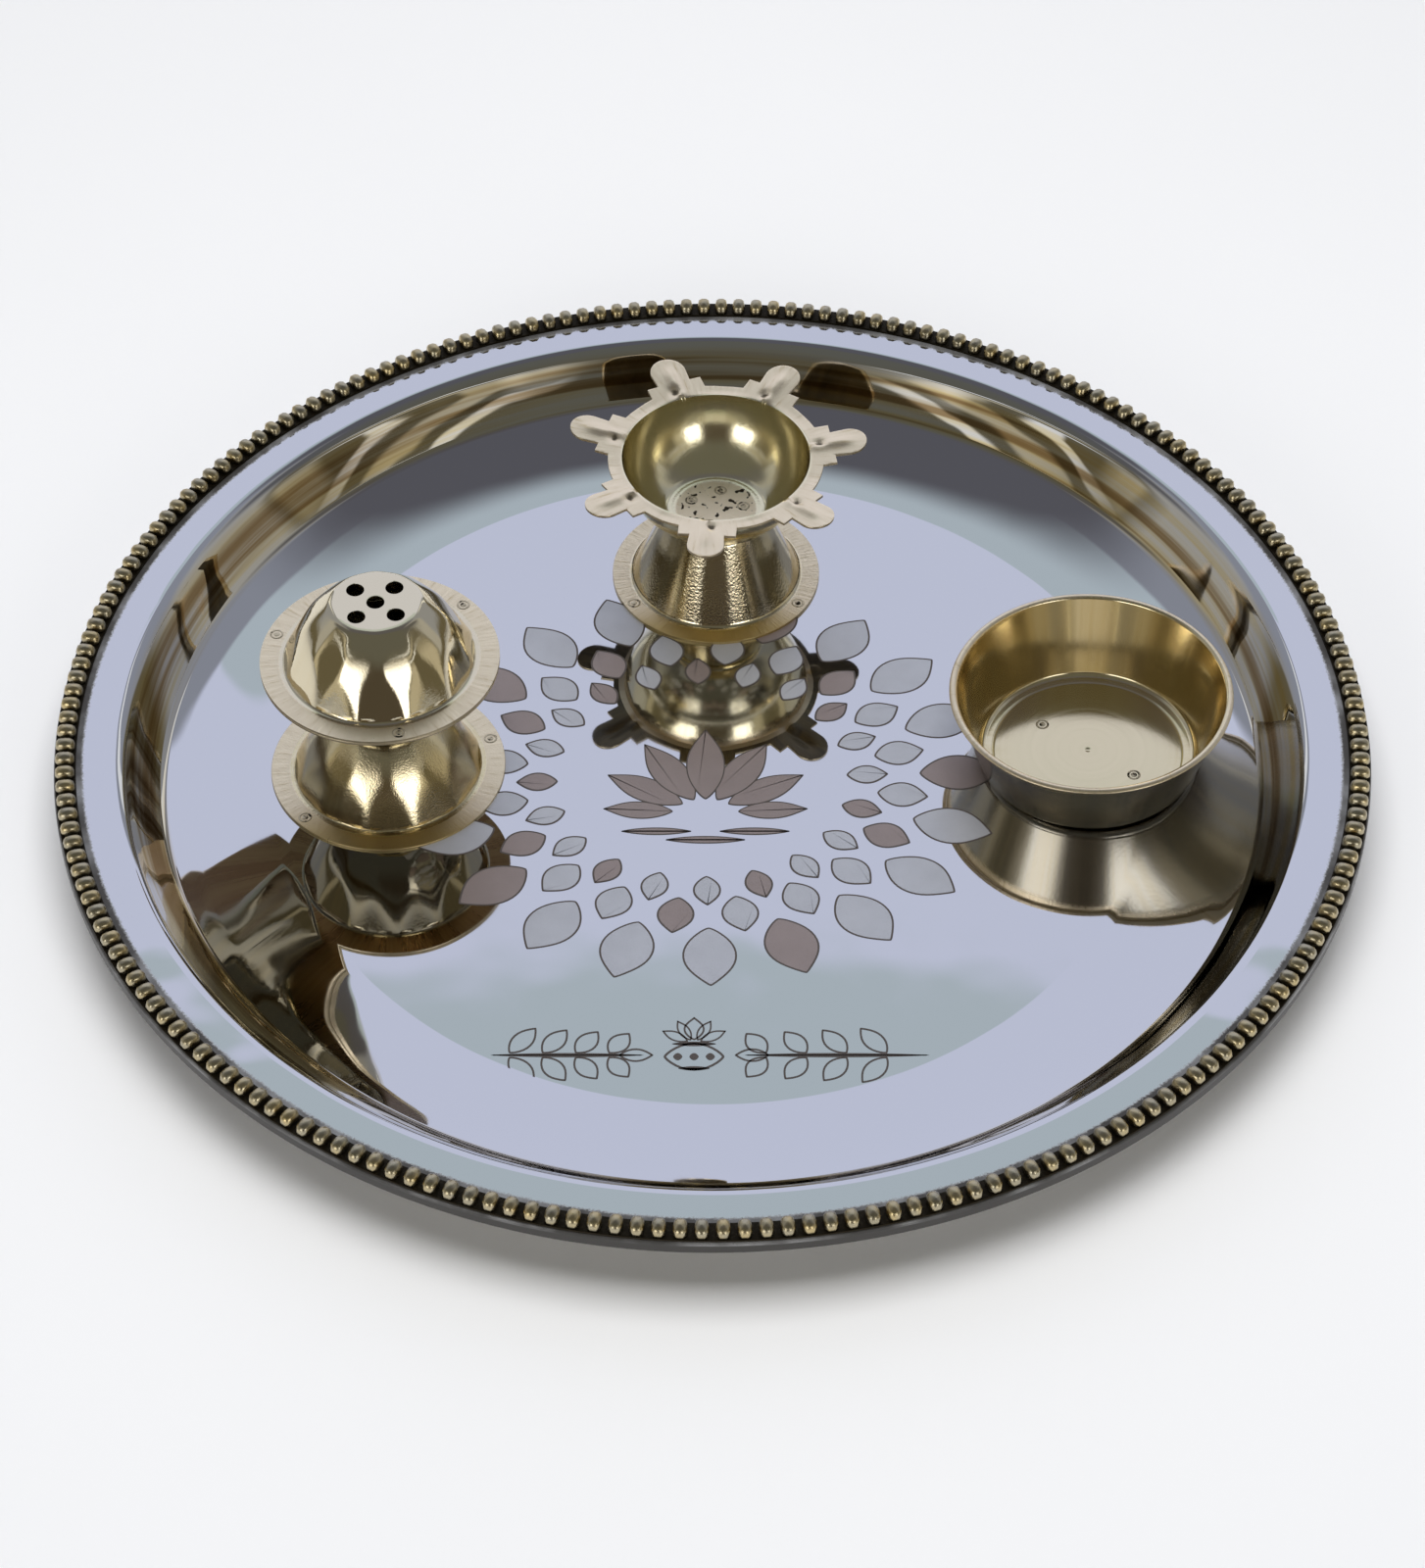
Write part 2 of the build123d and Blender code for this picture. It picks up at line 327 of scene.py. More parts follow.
def thicken(piece, sheet):
    """Gives a sheet its thickness below its upper side."""
    wall = piece.modifiers.new("Sheet", "SOLIDIFY")
    wall.thickness = sheet
    wall.offset = -1.0
    wall.use_even_offset = True
    apply_all(piece)


def soften(piece, width, angle=50.0, smooth=38.0):
    """Breaks the sharp edges of a piece and shades it smooth."""
    edge = piece.modifiers.new("Broken edges", "BEVEL")
    edge.width = width
    edge.segments = 2
    edge.limit_method = "ANGLE"
    edge.angle_limit = math.radians(angle)
    apply_all(piece)
    bpy.ops.object.shade_smooth_by_angle(angle=math.radians(smooth))
    weigh = piece.modifiers.new("Flat faces", "WEIGHTED_NORMAL")
    weigh.keep_sharp = True
    apply_all(piece)


def cut_with(piece, tool, operation):
    """Cuts a piece with another one, which is then deleted."""
    cut = piece.modifiers.new("Cut", "BOOLEAN")
    cut.operation = operation
    cut.solver = "EXACT"
    cut.object = tool
    apply_all(piece)
    bpy.data.objects.remove(tool)


def join(pieces, name):
    """Joins pieces into the first one."""
    deselect()
    for piece in pieces:
        piece.select_set(True)
    bpy.context.view_layer.objects.active = pieces[0]
    bpy.ops.object.join()
    joined = bpy.context.object
    joined.name = joined.data.name = name
    return joined


def deliver(piece, slot, materials, *nodes):
    """Dresses a finished piece and sets it on the body in place of its solids."""
    deselect()
    if not piece.data.materials:
        for material in materials:
            piece.data.materials.append(material)
    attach(piece, "root")
    if nodes:
        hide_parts(*nodes)


def require(test, message):
    """Stops the script where a piece can't be finished."""
    if not test:
        raise RuntimeError(message)


# Node trees


def put(tree, kind, sockets, **settings):
    """Adds a node, sets its options and fills its inputs with values or links."""
    made = tree.nodes.new("ShaderNode" + kind)
    for option, value in settings.items():
        setattr(made, option, value)
    for key, value in (sockets.items() if isinstance(sockets, dict) else enumerate(sockets)):
        if isinstance(value, NodeSocket):
            tree.links.new(value, made.inputs[key])
        else:
            made.inputs[key].default_value = value
    return made


def calc(tree, operation, *values):
    """Math node."""
    return put(tree, "Math", values, operation=operation, use_clamp=False).outputs[0]


def ramp(tree, value, start, end, low=0.0, high=1.0):
    """Smooth step of a value from low at start to high at end."""
    return put(tree, "MapRange", (value, start, end, low, high), interpolation_type="SMOOTHSTEP").outputs[0]


def blend(tree, factor, first, second):
    """Mix of two colours."""
    sockets = {0: factor, 6: first, 7: second}
    return put(tree, "Mix", sockets, data_type="RGBA", clamp_factor=True).outputs[2]


def noise(tree, vector, scale, detail=3.0, roughness=0.55):
    """Noise value."""
    sockets = {"Vector": vector, "Scale": scale, "Detail": detail, "Roughness": roughness}
    return put(tree, "TexNoise", sockets).outputs[0]


def shader_group(name, inputs, outputs):
    """Empty shader node group with named sockets, and its input and output nodes."""
    tree = bpy.data.node_groups.new(name, "ShaderNodeTree")
    for label, kind, default in inputs:
        socket = tree.interface.new_socket(name=label, in_out="INPUT", socket_type="NodeSocket" + kind)
        if default is not None:
            socket.default_value = default
    for label in outputs:
        tree.interface.new_socket(name=label, in_out="OUTPUT", socket_type="NodeSocketFloat")
    return tree, tree.nodes.new("NodeGroupInput").outputs, tree.nodes.new("NodeGroupOutput").inputs


def radial_marks():
    """Group: file marks that run out from the axis, and the distance from that axis."""
    name = "Radial marks"
    if name in bpy.data.node_groups:
        return bpy.data.node_groups[name]
    inputs = [("Vector", "Vector", None), ("Fineness", "Float", 60.0), ("Wander", "Float", 200.0)]
    tree, given, result = shader_group(name, inputs, ("Marks", "Reach"))
    flat = put(tree, "VectorMath", (given["Vector"], (1.0, 1.0, 0.0)), operation="MULTIPLY").outputs[0]
    distance = put(tree, "VectorMath", (flat,), operation="LENGTH").outputs["Value"]
    heading = put(tree, "VectorMath", (flat,), operation="NORMALIZE").outputs[0]
    spread = put(tree, "VectorMath", {0: heading, "Scale": given["Fineness"]}, operation="SCALE").outputs[0]
    drift = put(tree, "CombineXYZ", (0.0, 0.0, calc(tree, "MULTIPLY", distance, given["Wander"]))).outputs[0]
    path = put(tree, "VectorMath", (spread, drift), operation="ADD").outputs[0]
    tree.links.new(noise(tree, path, 1.0, 4.0, 0.7), result["Marks"])
    tree.links.new(distance, result["Reach"])
    return tree


def worked_metal():
    """Group: mottle, fine grain and slow waves of hand-polished sheet."""
    name = "Worked metal"
    if name in bpy.data.node_groups:
        return bpy.data.node_groups[name]
    inputs = [("Vector", "Vector", None), ("Mottle size", "Float", 120.0), ("Grain size", "Float", 1800.0)]
    tree, given, result = shader_group(name, inputs, ("Mottle", "Grain", "Waves"))
    tree.links.new(noise(tree, given["Vector"], given["Mottle size"], 4.0), result["Mottle"])
    tree.links.new(noise(tree, given["Vector"], given["Grain size"], 2.0), result["Grain"])
    tree.links.new(noise(tree, given["Vector"], 45.0, 1.0, 0.4), result["Waves"])
    return tree


def new_material(name):
    """Material with a metallic shader, and the piece's own coordinates."""
    material = bpy.data.materials.new(name)
    material.use_nodes = True
    tree = material.node_tree
    shader = tree.nodes["Principled BSDF"]
    shader.inputs["Metallic"].default_value = 1.0
    coords = tree.nodes.new("ShaderNodeTexCoord").outputs["Object"]
    return material, tree, shader, coords


def use_group(tree, group, sockets):
    """Places a node group and fills its inputs."""
    return put(tree, "Group", sockets, node_tree=group).outputs


def centred(tree, coords, spot):
    """Coordinates measured from a fitting's axis."""
    return put(tree, "Mapping", {"Vector": coords, "Location": (-spot.x, -spot.y, 0.0)}).outputs[0]


def set_bump(tree, shader, height, strength, distance):
    """Bump on a shader's normal."""
    bump = put(tree, "Bump", {"Height": height, "Strength": strength, "Distance": distance})
    tree.links.new(bump.outputs["Normal"], shader.inputs["Normal"])


def mirror_steel(colours):
    """Polished steel with slow waves, painted warm and dark reflections streaked round the wall, and a dark
    band beside the beads and on the turned-down edge.
    """
    material, tree, shader, coords = new_material("mirror_steel")
    metal = use_group(tree, worked_metal(), {"Vector": coords, "Mottle size": 60.0, "Grain size": 2500.0})
    marks = use_group(tree, radial_marks(), {"Vector": coords, "Fineness": 90.0, "Wander": 900.0})
    dish_edge = (112.0 * MM, 122.0 * MM)
    wall_foot = (116.6 * MM, 118.4 * MM)
    wall_top = (123.5 * MM, 126.5 * MM)
    bead_seam = (134.1 * MM, 134.9 * MM)
    hem_edge = (138.6 * MM, 139.4 * MM)
    hem_top = (15.2 * MM, 15.9 * MM)
    distance = calc(tree, "ADD", marks["Reach"], calc(tree, "MULTIPLY", metal["Grain"], 1.2 * MM))
    seam_in = ramp(tree, distance, *bead_seam)
    height = put(tree, "SeparateXYZ", (coords,)).outputs["Z"]
    under = ramp(tree, height, *hem_top, 1.0, 0.0)
    hem = calc(tree, "MULTIPLY", ramp(tree, marks["Reach"], *hem_edge), under)
    seam = calc(tree, "MULTIPLY", seam_in, ramp(tree, metal["Mottle"], 0.25, 0.6, 0.55, 1.0))
    # Dark band beside the beads and on the turned-down edge, nearly not metallic there
    dark_band = calc(tree, "MULTIPLY", calc(tree, "MAXIMUM", seam, hem), 0.95)
    tree.links.new(calc(tree, "SUBTRACT", 1.0, dark_band), shader.inputs["Metallic"])
    shader.inputs["Specular IOR Level"].default_value = 0.3
    # Painted reflection: warm and dark streaks round the wall, standing in for the brass and the room that
    # it reflects
    across = put(tree, "CombineXYZ", (0.0, 0.0, calc(tree, "MULTIPLY", marks["Reach"], 600.0))).outputs[0]
    ring = put(tree, "VectorMath", (coords, (7.0, 7.0, 0.0)), operation="MULTIPLY").outputs[0]
    ring = put(tree, "VectorMath", (ring, across), operation="ADD").outputs[0]
    streaks = ramp(tree, noise(tree, ring, 1.0, 4.0, 0.6), 0.36, 0.62, 0.25, 1.0)
    wall = calc(tree, "MULTIPLY", ramp(tree, marks["Reach"], *wall_foot), streaks)
    wall = calc(tree, "MULTIPLY", wall, ramp(tree, marks["Reach"], *wall_top, 1.0, 0.0))
    tone_with_painted_reflection = blend(tree, wall, colours.steel, colours.wall)
    shade = calc(tree, "MULTIPLY", wall, ramp(tree, noise(tree, ring, 0.5, 3.0, 0.6), 0.5, 0.6, 0.0, 0.8))
    tone_with_painted_reflection = blend(tree, shade, tone_with_painted_reflection, colours.shade_and_reflection_brown)
    tree.links.new(blend(tree, dark_band, tone_with_painted_reflection, colours.dark_marks), shader.inputs["Base Color"])
    rubbed = ramp(tree, metal["Mottle"], 0.35, 0.75, 0.015, 0.05)
    roughness = calc(tree, "ADD", rubbed, calc(tree, "MULTIPLY", dark_band, 0.4))
    tree.links.new(roughness, shader.inputs["Roughness"])
    uneven = ramp(tree, marks["Reach"], *dish_edge, 0.2, 1.0)
    waves = calc(tree, "MULTIPLY", metal["Waves"], uneven)
    set_bump(tree, shader, waves, 0.24, 1.2 * MM)
    return material


def rings_mask(tree, distance, rings):
    """Mask of rings, each given by its inner and outer radius."""
    mask = None
    edge = 0.3 * MM
    for inner, outer in rings:
        start = ramp(tree, distance, inner - edge, inner + edge)
        ring = calc(tree, "MULTIPLY", start, ramp(tree, distance, outer - edge, outer + edge, 1.0, 0.0))
        mask = ring if mask is None else calc(tree, "MAXIMUM", mask, ring)
    return mask


def brass(
    name, colours, spot, tone, filed,
    warm=0.35, polish=0.12, grain=0.3, filing=1.5, dark_marks=None, front=0.0, tooth=1500.0,
):
    """Pressed brass: polished, with painted gold reflections streaked along its walls, filed dull in rings
    about its axis, and a painted gold reflection on the front of the filed rings where front is given.
    """
    material, tree, shader, coords = new_material(name)
    local = centred(tree, coords, spot)
    metal = use_group(tree, worked_metal(), {"Vector": coords, "Mottle size": 140.0, "Grain size": tooth})
    marks = use_group(tree, radial_marks(), {"Vector": local, "Fineness": 34.0, "Wander": 140.0})
    streaks = use_group(tree, radial_marks(), {"Vector": local, "Fineness": 9.0, "Wander": 30.0})
    dull = rings_mask(tree, marks["Reach"], filed)
    turned = put(tree, "CombineXYZ", (calc(tree, "MULTIPLY", marks["Reach"], 900.0), 0.0, 0.0)).outputs[0]
    lines = noise(tree, turned, 1.0)
    wall = ramp(tree, marks["Reach"], filed[0][0] * 0.5, filed[0][0] * 0.8)
    along = put(tree, "Mix", {0: wall, 2: lines, 3: streaks["Marks"]}, data_type="FLOAT").outputs[0]
    # Painted reflection: gold streaks on the walls, standing in for brass reflecting brass
    painted_gold_reflection = calc(tree, "MULTIPLY", ramp(tree, along, 0.35, 0.65), calc(tree, "MULTIPLY", wall, warm))
    ground = blend(tree, painted_gold_reflection, tone, colours.gold)
    scored = ramp(tree, marks["Marks"], 0.56, 0.74, 0.0, 0.55)
    filings = blend(tree, scored, colours.pale_brass, colours.gold)
    # Painted reflection: gold on the front of the filed rings, where they face the brass above them
    if front:
        ahead = put(tree, "SeparateXYZ", (local,)).outputs["Y"]
        painted_front_reflection = ramp(tree, ahead, filed[0][0] * -1.0, filed[0][0] * -0.55, front, 0.0)
        filings = blend(tree, painted_front_reflection, filings, colours.gold)
    colour = blend(tree, dull, ground, filings)
    smooth = ramp(tree, along, 0.3, 0.7, polish, polish + 0.06)
    coarse = ramp(tree, marks["Marks"], 0.2, 0.8, 0.26, 0.46)
    roughness = put(tree, "Mix", {0: dull, 2: smooth, 3: coarse}, data_type="FLOAT").outputs[0]
    if dark_marks:
        spots = dark_marks(tree, local, marks["Reach"])
        colour = blend(tree, spots, colour, colours.patina)
        roughness = calc(tree, "ADD", roughness, calc(tree, "MULTIPLY", spots, 0.3))
    tree.links.new(colour, shader.inputs["Base Color"])
    tree.links.new(roughness, shader.inputs["Roughness"])
    fine = calc(tree, "MULTIPLY", metal["Grain"], grain)
    scores = calc(tree, "MULTIPLY", calc(tree, "MULTIPLY", marks["Marks"], dull), filing)
    height = calc(tree, "ADD", calc(tree, "ADD", fine, scores), calc(tree, "MULTIPLY", metal["Waves"], 1.2))
    set_bump(tree, shader, height, 0.3, 0.12 * MM)
    return material


def petal_shade_and_specks(sizes):
    """Dark marks for the lamp's bowl: painted shade in the dimple at each petal's root, and scorched specks
    on its floor.
    """
    step = 2 * math.pi / sizes.petal_count

    def dark_marks(tree, local, distance):
        parts = put(tree, "SeparateXYZ", (local,)).outputs
        bearing = calc(tree, "ARCTAN2", parts["Y"], parts["X"])
        turned = calc(tree, "SUBTRACT", bearing, sizes.first_petal - step / 2)
        turned = calc(tree, "FLOORED_MODULO", turned, step)
        offset = calc(tree, "SINE", calc(tree, "SUBTRACT", turned, step / 2))
        across = calc(tree, "SUBTRACT", calc(tree, "MULTIPLY", offset, distance), DIMPLE_ASIDE * MM)
        along = calc(tree, "SUBTRACT", distance, sizes.petal_ring - DIMPLE_BEFORE * MM)
        apart = put(tree, "CombineXYZ", (across, along, 0.0)).outputs[0]
        gap = put(tree, "VectorMath", (apart,), operation="LENGTH").outputs["Value"]
        ragged = calc(tree, "ADD", gap, calc(tree, "MULTIPLY", noise(tree, local, 1200.0), 1.2 * MM))
        # Painted shade: a dark spot in the dimple at each petal's root
        root = ramp(tree, ragged, 0.9 * MM, 1.7 * MM, 0.8, 0.0)
        floor = ramp(tree, distance, 8.6 * MM, 9.4 * MM, 1.0, 0.0)
        specks = ramp(tree, noise(tree, local, 620.0, 1.0), 0.62, 0.66, 0.0, 0.95)
        return calc(tree, "MAXIMUM", root, calc(tree, "MULTIPLY", specks, floor))

    return dark_marks


def aged_brass(colours, low):
    """Bead brass: bright crowns, and dark patina with painted shade low on each bead, in the gaps."""
    material, tree, shader, coords = new_material("bead_brass")
    metal = use_group(tree, worked_metal(), {"Vector": coords, "Mottle size": 220.0, "Grain size": 1600.0})
    height = put(tree, "SeparateXYZ", (coords,)).outputs["Z"]
    uneven = calc(tree, "ADD", height, calc(tree, "MULTIPLY", metal["Grain"], 0.5 * MM))
    # Patina and painted shade on the lower part of each bead; the crown keeps the brass colour
    crown_clear_of_patina_and_shade = ramp(tree, uneven, low + 0.7 * MM, low + 1.7 * MM)
    aged = blend(tree, ramp(tree, metal["Mottle"], 0.35, 0.75, 0.0, 0.7), colours.bead, colours.gold)
    tree.links.new(blend(tree, crown_clear_of_patina_and_shade, colours.patina, aged), shader.inputs["Base Color"])
    tree.links.new(ramp(tree, crown_clear_of_patina_and_shade, 0.0, 1.0, 0.6, 0.3), shader.inputs["Roughness"])
    set_bump(tree, shader, metal["Grain"], 0.4, 0.1 * MM)
    return material


def weld_metal(colours):
    """Heat-tinted spot weld with dark specks."""
    material, tree, shader, coords = new_material("weld_metal")
    metal = use_group(tree, worked_metal(), {"Vector": coords, "Mottle size": 700.0, "Grain size": 2600.0})
    speck = ramp(tree, metal["Mottle"], 0.36, 0.48)
    tree.links.new(blend(tree, speck, colours.patina, colours.weld), shader.inputs["Base Color"])
    tree.links.new(ramp(tree, metal["Mottle"], 0.3, 0.7, 0.55, 0.3), shader.inputs["Roughness"])
    set_bump(tree, shader, metal["Grain"], 0.5, 0.1 * MM)
    return material


def etched(name, colour, deep):
    """Frosted etching: dull metal with a fine tooth."""
    material, tree, shader, coords = new_material(name)
    metal = use_group(tree, worked_metal(), {"Vector": coords, "Mottle size": 160.0, "Grain size": 5200.0})
    darker = [channel * 0.82 for channel in colour[:3]] + [1.0]
    tree.links.new(blend(tree, metal["Mottle"], colour, darker), shader.inputs["Base Color"])
    tree.links.new(ramp(tree, metal["Grain"], 0.3, 0.7, deep, deep + 0.15), shader.inputs["Roughness"])
    shader.inputs["Metallic"].default_value = 0.55
    set_bump(tree, shader, metal["Grain"], 0.3, 0.05 * MM)
    return material


def etchings(colours):
    """Materials of the etched floor: outline, frosted and brown."""
    wanted = {
        "etched_line": (colours.etched_line, 0.45),
        "etched_pale": (colours.etched_pale, 0.38),
        "etched_brown": (colours.etched_brown, 0.38),
    }
    return [bpy.data.materials.get(name) or etched(name, *finish) for name, finish in wanted.items()]


# Plate and rim


class THALI_OT_plate(Operator):
    """Draw the steel plate from its floor out to the turned-down edge of its brim"""

    bl_idname = "thali.plate"
    bl_label = "Steel plate"

    def execute(self, context):
        sizes = context.scene.thali_plate
        radius = min(PLATE_HIGH.x, PLATE_HIGH.y)
        floor = PLATE_LOW.z + sizes.sheet
        brim = PLATE_HIGH.z
        mouth = radius - sizes.brim_width
        rings = [(sizes.flat_radius * share, floor) for share in (0.3, 0.6, 1.0)]
        steps = 10
        run = sizes.dish_radius - sizes.flat_radius
        for step in range(1, steps + 1):
            part = step / steps
            slope = sizes.kink_slope * part + (sizes.dish_slope - sizes.kink_slope) * part ** 2 / 2
            rings.append((sizes.flat_radius + run * part, floor + run * math.tan(slope)))
        start, height = rings[-1]
        for step in range(1, steps + 1):
            slope = sizes.dish_slope + (sizes.wall_slope - sizes.dish_slope) * step / steps
            out = sizes.wall_bend * (math.sin(slope) - math.sin(sizes.dish_slope))
            rise = sizes.wall_bend * (math.cos(sizes.dish_slope) - math.cos(slope))
            rings.append((start + out, height + rise))
        lip = (mouth, brim)
        wall = arc_points(rings[-1], lip, sizes.wall_slope, steps)
        rings += [point for point in wall if math.dist(point, lip) > sizes.lip_round]
        rings += bend_points(rings[-1], lip, (mouth + sizes.lip_round, brim), 8)
        rings += [(radius, brim), (radius, brim - sizes.hem_depth)]
        piece = round_sheet("thali_plate_steel", PLATE_SPOT, rings, PLATE_SIDES)
        round_corner(piece, PLATE_SPOT, (radius, brim), sizes.hem_round, 3)
        face_up(piece)
        thicken(piece, sizes.sheet)
        soften(piece, 0.12 * MM, 60.0)
        deliver(piece, "mirror_steel", [mirror_steel(context.scene.thali_colours)], "thali_plate")
        return {"FINISHED"}


class THALI_OT_beads(Operator):
    """Lay the strip on the brim and set one bead after another round it"""

    bl_idname = "thali.beads"
    bl_label = "Beaded rim"

    def execute(self, context):
        sizes = context.scene.thali_plate
        outer = min(RIM_HIGH.x, RIM_HIGH.y)
        inner = outer - sizes.strip_width
        low = RIM_LOW.z
        top = low + sizes.strip_height
        section = [(inner, top), (outer, top), (outer, low), (inner, low)]
        strip = round_sheet("bead_strip", PLATE_SPOT, section, sizes.bead_count)
        inside = inner + NEAR
        choose(strip, "FACE", lambda face: all(reach(PLATE_SPOT, vert.co) < inside for vert in face.verts))
        bpy.ops.mesh.delete(type="FACE")
        choose(strip, "VERT", lambda vert: vert.is_wire or not vert.link_edges)
        bpy.ops.mesh.delete(type="VERT")
        choose(strip, "EDGE", lambda edge: edge.is_boundary)
        bpy.ops.mesh.bridge_edge_loops()
        bpy.ops.mesh.select_all(action="SELECT")
        bpy.ops.mesh.normals_make_consistent(inside=False)
        soften(strip, 0.15 * MM)
        deselect()
        height = RIM_HIGH.z - low + sizes.bead_sink
        middle = ((outer + inner) / 2, 0.0, RIM_HIGH.z - height / 2)
        shape = (sizes.bead_length / 2, sizes.bead_width / 2, height / 2)
        bpy.ops.mesh.primitive_uv_sphere_add(segments=10, ring_count=6, radius=1.0)
        fullness = 0.75
        for vert in context.object.data.vertices:
            vert.co = [math.copysign(abs(part) ** fullness, part) for part in vert.co]
        context.object.location = middle
        context.object.scale = shape
        beads = take("beads")
        bpy.ops.mesh.select_all(action="SELECT")
        step = 2 * math.pi / sizes.bead_count
        copies = sizes.bead_count - 1
        bpy.ops.mesh.spin(steps=copies, dupli=True, angle=step * copies, center=(0, 0, 0), axis=(0, 0, 1))
        bpy.ops.object.mode_set(mode="OBJECT")
        bpy.ops.object.shade_smooth()
        faces = len(beads.data.polygons)
        require(faces % sizes.bead_count == 0, "the row of beads is not whole")
        piece = join([strip, beads], "beaded_rim_brass")
        material = aged_brass(context.scene.thali_colours, low)
        deliver(piece, "polished_brass", [material], "beaded_rim")
        return {"FINISHED"}


# Cup


def lean_cup(piece, sizes):
    """Leans a piece the way the cup leans where the dished floor lifts its outer edge."""
    pivot = Vector((CUP_SPOT.x - sizes.cup_floor - sizes.cup_sheet, CUP_SPOT.y, CUP_LOW.z))
    piece.rotation_euler.y = -sizes.cup_lean
    piece.location = pivot - piece.rotation_euler.to_matrix() @ pivot
    deselect()
    bpy.context.view_layer.objects.active = piece
    piece.select_set(True)
    bpy.ops.object.transform_apply(location=True, rotation=True, scale=True)


class THALI_OT_cup(Operator):
    """Draw the round cup with its flat lip and the groove in its floor"""

    bl_idname = "thali.cup"
    bl_label = "Cup"

    def execute(self, context):
        sizes = context.scene.thali_fittings
        floor = CUP_LOW.z + sizes.cup_sheet
        mouth = (CUP_HIGH.x - CUP_LOW.x) / 2
        lip = mouth - sizes.cup_lip
        groove = sizes.cup_groove
        groove_half = 0.5 * MM
        groove_depth = 0.2 * MM
        rings = [
            (0.5 * MM, floor - groove_depth),
            (0.9 * MM, floor),
            (groove - groove_half, floor),
            (groove, floor - groove_depth),
            (groove + groove_half, floor),
            (sizes.cup_floor, floor),
        ]
        steps = 6
        for step in range(steps + 1):
            part = step / steps
            rings.append((lip + sizes.cup_lip * part, CUP_HIGH.z - 0.4 * MM * (2 * part - 1) ** 2))
        piece = round_sheet("cup_brass", CUP_SPOT, rings, FITTING_SIDES)
        round_corner(piece, CUP_SPOT, (sizes.cup_floor, floor), 1.0 * MM, 4)
        face_up(piece)
        thicken(piece, sizes.cup_sheet)
        soften(piece, 0.12 * MM)
        colours = context.scene.thali_colours
        filed = [(lip + 0.3 * MM, mouth + 1.0 * MM)]
        inside = brass(
            "cup_brass", colours, CUP_SPOT, colours.gold_brass, filed,
            warm=0.3, polish=0.1, grain=0.1, filing=3.0,
        )
        # Painted shade: the outside is the same brass as the inside, darkened
        outside = brass(
            "cup_outside", colours, CUP_SPOT, colours.cup_outside_shade, filed,
            warm=0.15, polish=0.18, grain=0.3, filing=3.0,
        )
        lean_cup(piece, sizes)
        deliver(piece, "polished_brass", [inside, outside], "cup")
        for polygon in piece.data.polygons:
            out = (polygon.center.to_2d() - CUP_SPOT).normalized()
            if out.dot(polygon.normal.to_2d()) > 0.3 and polygon.normal.z < 0.2:
                polygon.material_index = 1
        return {"FINISHED"}


# Incense holder


